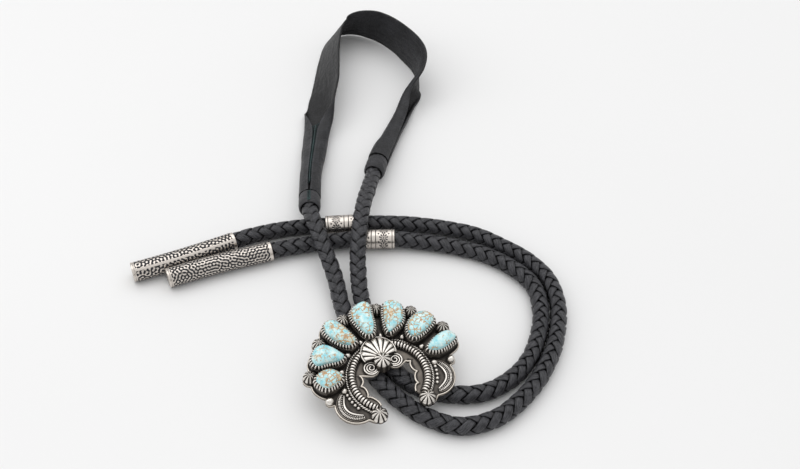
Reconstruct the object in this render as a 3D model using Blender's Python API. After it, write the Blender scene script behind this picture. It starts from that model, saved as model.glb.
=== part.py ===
"""A bolo tie laid out on a table: braided leather cords, a neck strap, a silver crescent ornament
with seven turquoise stones on its clasp, two silver beads and two silver tips.

Lengths are in metres and +Z is up. The origin is the centre of the clasp's level underside, which
lies on the table at Z = 0, and +Y points from the ornament towards the neck strap.
"""
import math

import bmesh
import bpy
import numpy as np
from mathutils import Matrix, Vector

OBJECT_NAME = "bolo_tie"
CLEARANCE = 0.0003

# Cords
CORD_DIAMETER = 0.0065
CORD_SPACING = 0.0125
CORD_BEVEL_RESOLUTION = 3

# Clasp
CLASP_LENGTH = 0.012
CLASP_FLOOR = 0.0008
CLASP_WALL = 0.0008
CLASP_ROOF = 0.0015

# Ornament: where it sits on the clasp
ORNAMENT_TURN = 23.5
ORNAMENT_TILT = 7.0
CLASP_FROM_CENTRE = 0.0169

# Ornament: plate and crescent band
PLATE_THICKNESS = 0.0008
PLATE_RIM = 0.0006
PLATE_STEPS = 100
BAND_RADIUS = 0.0135
BAND_WIRE = 0.00125
BAND_END_ANGLE = 233.0
TWIST_WIRE = 0.0004
SCALLOP_DEPTH = 0.0013
SCALLOP_SPAN = 26.0
SCALLOP_LAND = 0.0018

# Ornament: bezels and stones
STONE_RING = 0.0228
STONE_LENGTH = 0.0120
STONE_WIDTH = 0.0074
STONE_GIRDLE = 0.0046
STONE_CROWN = 0.0015
BEZEL_WALL = 0.0006
BEZEL_HEIGHT = 0.0050
OUTLINE_STEPS = 18

# Ornament: domes, balls and panels
END_BUTTON_RADIUS = 0.00305
END_BUTTON_HEIGHT = 0.0034
CENTRE_BUTTON_RADIUS = 0.0027
CENTRE_BUTTON_HEIGHT = 0.0040
RIM_BUTTON_RADIUS = 0.0025
RIM_BUTTON_HEIGHT = 0.0030
CONCHO_RADIUS = 0.0058
CONCHO_HEIGHT = 0.0040
SPIRAL_RADIUS = 0.00265
SPIRAL_HEIGHT = 0.0012
INNER_BALL = 0.00095
OUTER_BALL = 0.0015
PANEL_RADIUS = 0.0072
PANEL_WIRE = 0.00055

# Neck strap
STRAP_THICKNESS = 0.0010
STRAP_WIDTH = 0.0200
STRAP_FACETS = 12
STRAP_SPACING = 0.0068
FULL_ROLL = 354.0
LOOP_WIDTH = 0.0470
LOOP_LENGTH = 0.1250

# Collars
COLLAR_LENGTH = 0.0095
COLLAR_WALL = 0.0010
COLLAR_GAP = 0.0006

# Beads and tips
BEAD_LENGTH = 0.0172
BEAD_WALL = 0.00035
BEAD_RIM = 0.0001
TIP_LENGTH = 0.0424
TIP_WALL = 0.00035
TIP_RIM = 0.0001
TIP_SOCKET = 0.012
TIP_BEND_RADIUS = 0.30
TURNED_SIDES = 16
TIP_STATIONS = 5

CORD_RADIUS = CORD_DIAMETER / 2
CORD_BORE = (CORD_RADIUS + CLEARANCE) / math.cos(math.pi / TURNED_SIDES)
ROLL_BORE = (CORD_RADIUS + CLEARANCE) / math.cos(math.pi / STRAP_FACETS)
ROLL_RADIUS = ROLL_BORE + STRAP_THICKNESS / 2

# Each stone: its angle round the crescent, how far out it sits, its length and width as shares of
# STONE_RING, STONE_LENGTH and STONE_WIDTH, how much wider its outer end is, and its own turn.
STONE_COLUMNS = ("angle", "ring", "length", "width", "taper", "turn")
STONES = (
    (168.0, 0.95, 0.78, 0.87, 0.10, 0.0),
    (144.2, 1.00, 0.92, 0.98, 0.30, 14.0),
    (118.3, 1.04, 1.10, 0.90, 0.18, -2.0),
    (91.0, 1.04, 1.10, 0.97, 0.18, -8.0),
    (65.0, 1.02, 1.06, 0.97, 0.18, -3.0),
    (38.5, 0.99, 0.94, 1.02, 0.10, -6.0),
    (11.5, 0.98, 0.92, 0.76, 0.08, -4.0),
)

RIM_BUTTON_RING = 0.0281
RIM_BUTTON_ANGLES = (160.5, 132.0, 104.3, 77.5, 51.3, 23.8)
INNER_BALL_RING = 0.0171
INNER_BALL_ANGLES = (179.0, 153.5, 128.5, 104.5, 78.5, 52.0, 24.5, -2.0)
OUTER_BALL_RING = 0.0232
OUTER_BALL_ANGLE = 184.0
PANEL_CENTRE_RING = 0.0159
PANEL_CENTRE_ANGLE = 200.5
PANEL_INNER_SHARE = 0.62
SPIRAL_CENTRE = (0.0047, 0.0055)
CENTRE_BUTTON_Y = 0.0071
CONCHO_Y = 0.0110
END_BUTTON_RING = 0.0155
END_BUTTON_ANGLE = 234.0

# The band's sections, from the left collar round to the right one. Each lies on the straight line
# between the collars, moved sideways and away by its shares of LOOP_WIDTH and LOOP_LENGTH. Then come
# how far its upper edge leans away from the loop, how far it is rolled into a tube that opens away
# from the loop, how round that roll is instead of pressed flat, its width as a share of STRAP_WIDTH,
# how far it grips the cord instead, and how high its underside is lifted off the table, as a share
# of CORD_DIAMETER.
STRAP_COLUMNS = ("side", "reach", "lean", "roll", "round", "width", "grip", "lift")
STRAP_SECTIONS = (
    (0.000, 0.000, -90.0, 1.00, 1.00, 1.20, 1.00, 0.45),
    (-0.036, 0.125, -90.0, 1.00, 1.00, 1.20, 1.00, 0.15),
    (-0.054, 0.212, -88.0, 0.98, 0.85, 1.36, 0.00, 0.04),
    (-0.071, 0.285, -86.0, 0.93, 0.72, 1.42, 0.00, 0.00),
    (-0.084, 0.349, -80.0, 0.80, 0.60, 1.38, 0.00, 0.00),
    (-0.082, 0.410, -66.0, 0.50, 0.60, 1.28, 0.00, 0.00),
    (-0.076, 0.478, -54.0, 0.22, 0.80, 1.14, 0.00, 0.00),
    (-0.090, 0.558, -46.0, 0.08, 1.00, 1.04, 0.00, 0.00),
    (-0.112, 0.639, -40.0, 0.04, 1.00, 1.00, 0.00, 0.00),
    (-0.134, 0.719, -36.0, 0.02, 1.00, 1.00, 0.00, 0.00),
    (-0.142, 0.799, -34.0, 0.01, 1.00, 1.00, 0.00, 0.00),
    (-0.143, 0.849, -34.0, 0.01, 1.00, 1.00, 0.00, 0.00),
    (-0.130, 0.887, -35.0, 0.01, 1.00, 1.00, 0.00, 0.00),
    (-0.095, 0.910, -34.0, 0.01, 1.00, 1.00, 0.00, 0.00),
    (-0.039, 0.914, -30.0, 0.01, 1.00, 1.00, 0.00, 0.00),
    (0.093, 0.901, -16.0, 0.01, 1.00, 1.00, 0.00, 0.00),
    (0.231, 0.869, -6.0, 0.01, 1.00, 1.00, 0.00, 0.00),
    (0.363, 0.809, 1.0, 0.01, 1.00, 1.00, 0.00, 0.00),
    (0.474, 0.733, 6.0, 0.01, 1.00, 1.00, 0.00, 0.00),
    (0.556, 0.655, 9.0, 0.02, 1.00, 1.00, 0.00, 0.00),
    (0.582, 0.568, 6.0, 0.05, 1.00, 1.00, 0.00, 0.00),
    (0.545, 0.489, -5.0, 0.14, 0.80, 1.00, 0.00, 0.00),
    (0.455, 0.413, -18.0, 0.42, 0.55, 1.00, 0.00, 0.00),
    (0.370, 0.339, -26.0, 0.80, 0.75, 1.00, 0.00, 0.00),
    (0.298, 0.272, -24.0, 0.97, 0.92, 1.00, 0.00, 0.00),
    (0.213, 0.202, -20.0, 1.00, 1.00, 1.00, 0.00, 0.00),
    (0.134, 0.132, -16.0, 1.00, 1.00, 1.00, 0.30, 0.00),
    (0.062, 0.069, -12.0, 1.00, 1.00, 1.10, 1.00, 0.02),
    (0.000, 0.000, -10.0, 1.00, 1.00, 1.10, 1.00, 0.08),
)

# Cord routes: points chosen by hand, from inside the neck strap to inside the tip.
LEFT_CORD_ROUTE = (
    (-0.0283, 0.0950, 0.0058),
    (-0.0277, 0.0795, 0.0077),
    (-0.0271, 0.0702, 0.0100),
    (-0.0256, 0.0646, 0.0115),
    (-0.0227, 0.0561, 0.0111),
    (-0.0187, 0.0453, 0.0088),
    (-0.0144, 0.0330, 0.0056),
    (-0.0111, 0.0190, 0.0045),
    (-0.0055, 0.0042, 0.00435),
    (0.0006, -0.0100, 0.0044),
    (0.0055, -0.0164, 0.0041),
    (0.0108, -0.0216, 0.0034),
    (0.0180, -0.0272, 0.00325),
    (0.0268, -0.0314, 0.00325),
    (0.0370, -0.0315, 0.00325),
    (0.0478, -0.0262, 0.00325),
    (0.0563, -0.0172, 0.00325),
    (0.0642, -0.0062, 0.00325),
    (0.0693, 0.0078, 0.00325),
    (0.0715, 0.0209, 0.00325),
    (0.0705, 0.0330, 0.00325),
    (0.0653, 0.0431, 0.00325),
    (0.0570, 0.0512, 0.00325),
    (0.0477, 0.0579, 0.00325),
    (0.0376, 0.0632, 0.00325),
    (0.0242, 0.0663, 0.0033),
    (0.0104, 0.0677, 0.0038),
    (-0.0050, 0.0673, 0.0043),
    (-0.0205, 0.0661, 0.0042),
    (-0.0333, 0.0656, 0.0033),
    (-0.0453, 0.0624, 0.0038),
    (-0.0567, 0.0575, 0.0042),
    (-0.0676, 0.0520, 0.0042),
)
RIGHT_CORD_ROUTE = (
    (0.0024, 0.1128, 0.0049),
    (0.0007, 0.1060, 0.0052),
    (-0.0012, 0.0950, 0.0066),
    (-0.0034, 0.0813, 0.0096),
    (-0.0049, 0.0688, 0.0121),
    (-0.0059, 0.0559, 0.0121),
    (-0.0063, 0.0425, 0.0084),
    (-0.0051, 0.0290, 0.0052),
    (-0.0021, 0.0150, 0.00435),
    (0.0007, 0.0069, 0.00435),
    (0.0067, -0.0070, 0.0044),
    (0.0107, -0.0114, 0.0041),
    (0.0157, -0.0148, 0.0034),
    (0.0220, -0.0172, 0.00325),
    (0.0300, -0.0187, 0.00325),
    (0.0384, -0.0183, 0.00325),
    (0.0466, -0.0147, 0.00325),
    (0.0539, -0.0077, 0.00325),
    (0.0595, 0.0016, 0.00325),
    (0.0627, 0.0119, 0.00325),
    (0.0639, 0.0220, 0.00325),
    (0.0628, 0.0316, 0.00325),
    (0.0584, 0.0393, 0.00325),
    (0.0523, 0.0452, 0.00325),
    (0.0435, 0.0508, 0.00325),
    (0.0322, 0.0547, 0.00325),
    (0.0212, 0.0568, 0.0036),
    (0.0090, 0.0581, 0.0043),
    (-0.0095, 0.0582, 0.0043),
    (-0.0220, 0.0563, 0.0038),
    (-0.0318, 0.0544, 0.0039),
    (-0.0414, 0.0516, 0.0042),
    (-0.0526, 0.0478, 0.0042),
)
LEFT_BEAD_FROM_MOUTH = 0.0466
RIGHT_BEAD_FROM_MOUTH = 0.0415


def remove_scene_objects():
    for scene_object in list(bpy.data.objects):
        bpy.data.objects.remove(scene_object, do_unlink=True)


def new_collection(name):
    collection = bpy.data.collections.new(name)
    bpy.context.scene.collection.children.link(collection)
    return collection


def principled(name, colour, roughness, metallic):
    material = bpy.data.materials.new(name)
    material.use_nodes = True
    shader = material.node_tree.nodes["Principled BSDF"]
    shader.inputs["Base Color"].default_value = (*colour, 1.0)
    shader.inputs["Roughness"].default_value = roughness
    shader.inputs["Metallic"].default_value = metallic
    return material


def silver(name):
    return principled(name, (0.58, 0.56, 0.53), 0.32, 1.0)


def turquoise(name):
    return principled(name, (0.35, 0.76, 0.80), 0.30, 0.0)


def leather(name):
    return principled(name, (0.035, 0.035, 0.038), 0.55, 0.0)


def add_object(name, mesh, material, collection, parent=None):
    new_object = bpy.data.objects.new(name, mesh)
    mesh.materials.clear()
    mesh.materials.append(material)
    mesh.shade_smooth()
    mesh.set_sharp_from_angle(angle=math.radians(35))
    collection.objects.link(new_object)
    new_object.parent = parent
    return new_object


def add_bmesh_object(name, bm, material, collection, parent=None):
    bmesh.ops.recalc_face_normals(bm, faces=bm.faces)
    mesh = bpy.data.meshes.new(name)
    bm.to_mesh(mesh)
    bm.free()
    return add_object(name, mesh, material, collection, parent)


def as_tool(tool_object):
    """Marks a shape that is only joined to or cut from another one."""
    tool_object.hide_render = True
    tool_object.display_type = "WIRE"
    return tool_object


def smooth_route(points, spacing):
    """Evenly spaced points on a smooth curve through the given ones, end to end."""
    knots = [Vector(point) for point in points]
    before = knots[0] * 2 - knots[1]
    after = knots[-1] * 2 - knots[-2]
    padded = [before, *knots, after]
    fine = []
    for index in range(len(knots) - 1):
        p0, p1, p2, p3 = padded[index:index + 4]
        for step in range(24):
            fine.append(catmull_rom(p0, p1, p2, p3, step / 24))
    fine.append(knots[-1])
    return even_points(fine, spacing)


def catmull_rom(p0, p1, p2, p3, share):
    """A point between p1 and p2, with knots spaced by the square root of the distances."""
    t1 = (p1 - p0).length ** 0.5
    t2 = t1 + (p2 - p1).length ** 0.5
    t3 = t2 + (p3 - p2).length ** 0.5
    t = t1 + (t2 - t1) * share
    a1 = p0 * ((t1 - t) / t1) + p1 * (t / t1)
    a2 = p1 * ((t2 - t) / (t2 - t1)) + p2 * ((t - t1) / (t2 - t1))
    a3 = p2 * ((t3 - t) / (t3 - t2)) + p3 * ((t - t2) / (t3 - t2))
    b1 = a1 * ((t2 - t) / t2) + a2 * (t / t2)
    b2 = a2 * ((t3 - t) / (t3 - t1)) + a3 * ((t - t1) / (t3 - t1))
    return b1 * ((t2 - t) / (t2 - t1)) + b2 * ((t - t1) / (t2 - t1))


def even_points(fine, spacing):
    lengths = [0.0]
    for start, end in zip(fine, fine[1:]):
        lengths.append(lengths[-1] + (end - start).length)
    count = max(2, round(lengths[-1] / spacing))
    wanted = np.linspace(0.0, lengths[-1], count + 1)
    columns = [np.interp(wanted, lengths, [point[axis] for point in fine]) for axis in range(3)]
    return [Vector(values) for values in zip(*columns)]


def place_on_route(points, distance_from_end):
    """The place and direction at a distance back from the end of a route."""
    left = distance_from_end
    for end, start in zip(points[::-1], points[-2::-1]):
        step = (start - end).length
        if left <= step:
            return end.lerp(start, left / step), (end - start).normalized()
        left -= step
    return points[0], (points[1] - points[0]).normalized()


def axis_matrix(place, direction):
    """Stands a shape's own Z axis along a direction, with its own X level."""
    across = Vector((0, 0, 1)).cross(direction).normalized()
    upward = direction.cross(across)
    turn = Matrix((across, upward, direction)).transposed()
    return Matrix.Translation(place) @ turn.to_4x4()


def seat_on_cord(points, distance, length):
    """The straight line that best follows a stretch of cord, at a distance back from its end."""
    near = place_on_route(points, distance - length / 2)[0]
    far = place_on_route(points, distance + length / 2)[0]
    middle = place_on_route(points, distance)[0].lerp((near + far) / 2, 0.5)
    return axis_matrix(middle, (near - far).normalized())


def poly_tube(name, points, radius, bevel_resolution, cyclic=False):
    curve = bpy.data.curves.new(name, "CURVE")
    curve.dimensions = "3D"
    curve.bevel_depth = radius
    curve.bevel_resolution = bevel_resolution
    curve.use_fill_caps = True
    spline = curve.splines.new("POLY")
    spline.points.add(len(points) - 1)
    for spline_point, point in zip(spline.points, points):
        spline_point.co = (*point, 1.0)
    spline.use_cyclic_u = cyclic
    return curve


def tube_mesh(name, points, radius, bevel_resolution):
    """A tube as a mesh with its caps welded, ready for a Boolean."""
    curve = poly_tube(name, points, radius, bevel_resolution)
    curve_object = bpy.data.objects.new(name, curve)
    bpy.context.scene.collection.objects.link(curve_object)
    depsgraph = bpy.context.evaluated_depsgraph_get()
    mesh = bpy.data.meshes.new_from_object(curve_object.evaluated_get(depsgraph))
    bm = bmesh.new()
    bm.from_mesh(mesh)
    bmesh.ops.remove_doubles(bm, verts=bm.verts, dist=0.00001)
    bm.to_mesh(mesh)
    bm.free()
    bpy.data.objects.remove(curve_object)
    return mesh


def turned_mesh(name, profile, sides):
    """A ring turned about Z from a closed profile of (radius, height) pairs."""
    bm = bmesh.new()
    rings = []
    for step in range(sides):
        angle = 2 * math.pi * step / sides
        rings.append([bm.verts.new((r * math.cos(angle), r * math.sin(angle), z)) for r, z in profile])
    join_rings(bm, rings, closed=True)
    mesh = bpy.data.meshes.new(name)
    bmesh.ops.recalc_face_normals(bm, faces=bm.faces)
    bm.to_mesh(mesh)
    bm.free()
    return mesh


def join_rings(bm, rings, closed=False):
    """Lofts faces between rings of vertices that each close on themselves."""
    pairs = list(zip(rings, rings[1:]))
    if closed:
        pairs.append((rings[-1], rings[0]))
    for low, high in pairs:
        for index in range(len(low)):
            following = (index + 1) % len(low)
            bm.faces.new((low[index], low[following], high[following], high[index]))


def polar(radius, degrees):
    angle = math.radians(degrees)
    return Vector((radius * math.cos(angle), radius * math.sin(angle)))


def stone_rows():
    return [dict(zip(STONE_COLUMNS, row)) for row in STONES]


def stone_outline(row, grow):
    """One stone's outline in the ornament's plane, moved outward by grow."""
    half_length = STONE_LENGTH * row["length"] / 2
    half_width = STONE_WIDTH * row["width"] / 2
    shape = []
    for step in range(OUTLINE_STEPS):
        angle = 2 * math.pi * step / OUTLINE_STEPS
        taper = 1 + row["taper"] * math.cos(angle)
        shape.append(Vector((half_length * math.cos(angle), half_width * math.sin(angle) * taper)))
    centre = polar(STONE_RING * row["ring"], row["angle"])
    turn = Matrix.Rotation(math.radians(row["angle"] + row["turn"]), 2)
    outline = []
    for index, point in enumerate(shape):
        along = shape[(index + 1) % OUTLINE_STEPS] - shape[index - 1]
        outward = Vector((along.y, -along.x)).normalized()
        outline.append(centre + turn @ (point + outward * grow))
    return outline


def ring_from(bm, outline, height):
    return [bm.verts.new((point.x, point.y, height)) for point in outline]


def bezel(row, material, tools, frame):
    """A wall round one stone, open at the top and sunk into the plate below."""
    sunk = -PLATE_THICKNESS / 2
    inside = stone_outline(row, CLEARANCE)
    outside = stone_outline(row, CLEARANCE + BEZEL_WALL)
    bm = bmesh.new()
    rings = [
        ring_from(bm, outside, sunk),
        ring_from(bm, outside, BEZEL_HEIGHT),
        ring_from(bm, inside, BEZEL_HEIGHT),
        ring_from(bm, inside, sunk),
    ]
    join_rings(bm, rings, closed=True)
    return as_tool(add_bmesh_object("bezel", bm, material, tools, frame))


def stone(number, row, collection, frame):
    """A crowned cabochon that stands on the plate inside its bezel."""
    base = CLEARANCE
    crown_steps = 3
    bm = bmesh.new()
    rings = [ring_from(bm, stone_outline(row, 0.0), base)]
    centre = sum(stone_outline(row, 0.0), Vector((0, 0))) / OUTLINE_STEPS
    for step in range(crown_steps):
        lift = math.radians(90 * step / crown_steps)
        outline = [centre + (point - centre) * math.cos(lift) for point in stone_outline(row, 0.0)]
        rings.append(ring_from(bm, outline, STONE_GIRDLE + STONE_CROWN * math.sin(lift)))
    join_rings(bm, rings)
    bm.faces.new(rings[0])
    bm.faces.new(rings[-1])
    name = f"stone_{number}"
    return add_bmesh_object(name, bm, turquoise(name), collection, frame)


def far_side(centre, radius, degrees, default):
    """How far out a ray from the crescent's centre leaves a disc."""
    ray = polar(1.0, degrees)
    along = ray.dot(centre)
    square = radius ** 2 - (centre.length_squared - along ** 2)
    return along + math.sqrt(square) if square > 0 and along > 0 else default


def near_side(centre, radius, degrees, default):
    ray = polar(1.0, degrees)
    along = ray.dot(centre)
    square = radius ** 2 - (centre.length_squared - along ** 2)
    return along - math.sqrt(square) if square > 0 and along > 0 else default


def outer_reach(degrees):
    """The plate's outer edge: a rim beyond whatever it carries in that direction."""
    reach = INNER_BALL_RING + INNER_BALL + PLATE_RIM
    for row in stone_rows():
        centre = polar(STONE_RING * row["ring"], row["angle"])
        half = (STONE_LENGTH * row["length"] + STONE_WIDTH * row["width"]) / 4
        end = centre + polar(STONE_LENGTH * row["length"] / 2 - half, row["angle"] + row["turn"])
        radius = half + CLEARANCE + BEZEL_WALL + PLATE_RIM
        reach = max(reach, far_side(end, radius, degrees, reach))
    for angle in RIM_BUTTON_ANGLES:
        reach = max(reach, far_side(polar(RIM_BUTTON_RING, angle), RIM_BUTTON_RADIUS, degrees, reach))
    for angle in (OUTER_BALL_ANGLE, 180 - OUTER_BALL_ANGLE):
        reach = max(reach, far_side(polar(OUTER_BALL_RING, angle), OUTER_BALL, degrees, reach))
    for angle in (PANEL_CENTRE_ANGLE, 180 - PANEL_CENTRE_ANGLE):
        for whole_turn in (0, 360):
            panel = polar(PANEL_CENTRE_RING, angle + whole_turn)
            reach = max(reach, far_side(panel, PANEL_RADIUS + PLATE_RIM, degrees, 0.0))
    return reach


def inner_reach(degrees):
    """The plate's inner edge: scallops along the arms, and round the spirals at the top."""
    cusp = BAND_RADIUS - BAND_WIRE - SCALLOP_LAND
    phase = ((degrees - 90) % SCALLOP_SPAN) / SCALLOP_SPAN * 2 - 1
    reach = cusp - SCALLOP_DEPTH * math.sqrt(1 - phase ** 2)
    for side in (1, -1):
        spiral = Vector((side * SPIRAL_CENTRE[0], SPIRAL_CENTRE[1]))
        reach = min(reach, near_side(spiral, SPIRAL_RADIUS + PLATE_RIM / 2, degrees, reach))
    button = Vector((0, CENTRE_BUTTON_Y))
    return min(reach, near_side(button, CENTRE_BUTTON_RADIUS + PLATE_RIM / 2, degrees, reach))


def plate(material, collection, frame):
    """The crescent plate between its inner and outer edges, with its top face at the frame."""
    first = 180 - BAND_END_ANGLE
    bm = bmesh.new()
    sections = []
    for step in range(PLATE_STEPS + 1):
        degrees = first + (BAND_END_ANGLE - first) * step / PLATE_STEPS
        inner = polar(inner_reach(degrees), degrees)
        outer = polar(outer_reach(degrees), degrees)
        corners = ((inner, -PLATE_THICKNESS), (outer, -PLATE_THICKNESS), (outer, 0.0), (inner, 0.0))
        sections.append([bm.verts.new((point.x, point.y, height)) for point, height in corners])
    join_rings(bm, sections)
    bm.faces.new(sections[0])
    bm.faces.new(sections[-1])
    return add_bmesh_object("ornament", bm, material, collection, frame)


def arc(centre, radius, first, last, steps, height):
    """Points along an arc, level at a height over the plate."""
    points = []
    for step in range(steps + 1):
        point = centre + polar(radius, first + (last - first) * step / steps)
        points.append(Vector((point.x, point.y, height)))
    return points


def wire_along(name, points, radius, bevel_resolution, material, tools, frame):
    mesh = tube_mesh(name, points, radius, bevel_resolution)
    return as_tool(add_object(name, mesh, material, tools, frame))


def band_and_wire(material, tools, frame):
    """The half round crescent band, and the twisted wire that follows its outer side."""
    first = 180 - BAND_END_ANGLE
    band_height = BAND_WIRE - PLATE_THICKNESS / 3
    band = arc(Vector((0, 0)), BAND_RADIUS, first, BAND_END_ANGLE, 32, band_height)
    wire_along("band", band, BAND_WIRE, 1, material, tools, frame)
    wire_radius = BAND_RADIUS + BAND_WIRE + TWIST_WIRE * 1.5
    wire = arc(Vector((0, 0)), wire_radius, first + 4, BAND_END_ANGLE - 4, 30, TWIST_WIRE / 2)
    wire_along("twist_wire", wire, TWIST_WIRE, 0, material, tools, frame)


def fluted_dome(name, centre, radius, height, flutes, focus, material, tools, frame):
    """A dome whose flutes run out from a focus point, sunk into the plate."""
    rings = 4
    depth = 0.16
    sunk = -PLATE_THICKNESS / 3
    bm = bmesh.new()
    layers = [[], *[[] for _ in range(rings)]]
    for step in range(2 * flutes):
        rim = Vector(centre) + polar(radius * (1.0 if step % 2 else 1 - depth / 2), 180 * step / flutes)
        layers[0].append(bm.verts.new((rim.x, rim.y, sunk)))
        for ring in range(rings):
            share = 1 - ring / rings
            point = Vector(focus).lerp(rim, share)
            away = min((point - Vector(centre)).length / radius, 1.0)
            lift = height * math.sqrt(1 - 0.9 * away ** 2) * (1.0 if step % 2 else 1 - depth * share)
            layers[ring + 1].append(bm.verts.new((point.x, point.y, lift)))
    join_rings(bm, layers)
    bm.faces.new(layers[0])
    bm.faces.new(layers[-1])
    return as_tool(add_bmesh_object(name, bm, material, tools, frame))


def ball(centre, radius, material, tools, frame):
    bm = bmesh.new()
    bmesh.ops.create_uvsphere(bm, u_segments=8, v_segments=6, radius=radius)
    bmesh.ops.translate(bm, vec=(centre.x, centre.y, radius * 0.55), verts=bm.verts)
    return as_tool(add_bmesh_object("ball", bm, material, tools, frame))


def spiral_disc(side, material, tools, frame):
    """The outer form of one wound wire spiral."""
    bm = bmesh.new()
    bmesh.ops.create_cone(bm, cap_ends=True, segments=18, radius1=SPIRAL_RADIUS,
                          radius2=SPIRAL_RADIUS * 0.86, depth=SPIRAL_HEIGHT + PLATE_THICKNESS / 2)
    lift = (SPIRAL_HEIGHT - PLATE_THICKNESS / 2) / 2
    bmesh.ops.translate(bm, vec=(side * SPIRAL_CENTRE[0], SPIRAL_CENTRE[1], lift), verts=bm.verts)
    return as_tool(add_bmesh_object("spiral", bm, material, tools, frame))


def panel_wires(side, material, tools, frame):
    """The two raised edges of one stamped crescent panel."""
    angle = PANEL_CENTRE_ANGLE if side < 0 else 180 - PANEL_CENTRE_ANGLE
    centre = polar(PANEL_CENTRE_RING, angle)
    outer = arc(centre, PANEL_RADIUS - PANEL_WIRE, angle - 78, angle + 74, 12, PANEL_WIRE / 3)
    wire_along("panel_edge", outer, PANEL_WIRE, 0, material, tools, frame)
    inner = arc(centre, PANEL_RADIUS * PANEL_INNER_SHARE, angle - 78, angle + 70, 10, PANEL_WIRE / 2)
    wire_along("panel_ridge", inner, PANEL_WIRE, 0, material, tools, frame)


def ornament(collection, tools, frame):
    """The soldered silver crescent as one solid, and its seven stones."""
    material = silver("ornament_silver")
    body = plate(material, collection, frame)
    for number, row in enumerate(stone_rows(), start=1):
        bezel(row, material, tools, frame)
        stone(number, row, collection, frame)
    band_and_wire(material, tools, frame)
    concho = (0.0, CONCHO_Y)
    concho_focus = (0.0, CONCHO_Y - CONCHO_RADIUS * 0.62)
    fluted_dome("concho", concho, CONCHO_RADIUS, CONCHO_HEIGHT, 12, concho_focus, material, tools, frame)
    button = (0.0, CENTRE_BUTTON_Y)
    fluted_dome("centre_button", button, CENTRE_BUTTON_RADIUS, CENTRE_BUTTON_HEIGHT, 8, button,
                material, tools, frame)
    for angle in (END_BUTTON_ANGLE, 180 - END_BUTTON_ANGLE):
        place = polar(END_BUTTON_RING, angle)
        fluted_dome("end_button", place, END_BUTTON_RADIUS, END_BUTTON_HEIGHT, 8, place,
                    material, tools, frame)
    for angle in RIM_BUTTON_ANGLES:
        place = polar(RIM_BUTTON_RING, angle)
        fluted_dome("rim_button", place, RIM_BUTTON_RADIUS, RIM_BUTTON_HEIGHT, 7, place,
                    material, tools, frame)
    for angle in INNER_BALL_ANGLES:
        ball(polar(INNER_BALL_RING, angle), INNER_BALL, material, tools, frame)
    for angle in (OUTER_BALL_ANGLE, 180 - OUTER_BALL_ANGLE):
        ball(polar(OUTER_BALL_RING, angle), OUTER_BALL, material, tools, frame)
    for side in (1, -1):
        spiral_disc(side, material, tools, frame)
        panel_wires(side, material, tools, frame)
    solder = body.modifiers.new("solder", "BOOLEAN")
    solder.operation = "UNION"
    solder.operand_type = "COLLECTION"
    solder.collection = tools
    solder.solver = "EXACT"
    return body


def ornament_frame(collection):
    """An empty at the crescent's centre on the plate's top face, turned and tilted like it."""
    turn = math.radians(ORNAMENT_TURN)
    tilt = math.radians(ORNAMENT_TILT)
    clasp_top = CLASP_FLOOR + 2 * CLEARANCE + CORD_DIAMETER + CLASP_ROOF
    lift = clasp_top + CLEARANCE + PLATE_THICKNESS / math.cos(tilt)
    rise = (CLASP_FROM_CENTRE - CLASP_LENGTH / 2) * math.tan(tilt)
    frame = bpy.data.objects.new("ornament_frame", None)
    away = CLASP_FROM_CENTRE
    frame.location = (away * math.sin(turn), -away * math.cos(turn), lift - rise)
    frame.rotation_euler = (tilt, 0.0, turn)
    collection.objects.link(frame)
    return frame


def box(bm, low, high):
    made = bmesh.ops.create_cube(bm, size=1.0)["verts"]
    size = [b - a for a, b in zip(low, high)]
    middle = [(a + b) / 2 for a, b in zip(low, high)]
    bmesh.ops.scale(bm, vec=size, verts=made)
    bmesh.ops.translate(bm, vec=middle, verts=made)
    return made


def slide_clasp(collection, tools):
    """The hidden sleeve for both cords, with a roof that follows the tilted plate."""
    half_width = CORD_DIAMETER + CLEARANCE * 1.5 + CLASP_WALL
    slot_top = CLASP_FLOOR + CORD_DIAMETER + 2 * CLEARANCE
    slope = CLASP_LENGTH * math.tan(math.radians(ORNAMENT_TILT))
    bm = bmesh.new()
    half_length = CLASP_LENGTH / 2
    made = box(bm, (-half_width, -half_length, 0), (half_width, half_length, slot_top + CLASP_ROOF))
    for vertex in made:
        if vertex.co.y > 0 and vertex.co.z > slot_top:
            vertex.co.z += slope
    clasp = add_bmesh_object("slide_clasp", bm, silver("clasp_silver"), collection)
    bm = bmesh.new()
    slot = half_width - CLASP_WALL
    box(bm, (-slot, -CLASP_LENGTH, CLASP_FLOOR), (slot, CLASP_LENGTH, slot_top))
    cutter = as_tool(add_bmesh_object("clasp_slot", bm, clasp.data.materials[0], tools, clasp))
    cut = clasp.modifiers.new("slot", "BOOLEAN")
    cut.operation = "DIFFERENCE"
    cut.object = cutter
    cut.solver = "EXACT"
    clasp.rotation_euler = (0.0, 0.0, math.radians(ORNAMENT_TURN))
    return clasp


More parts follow.
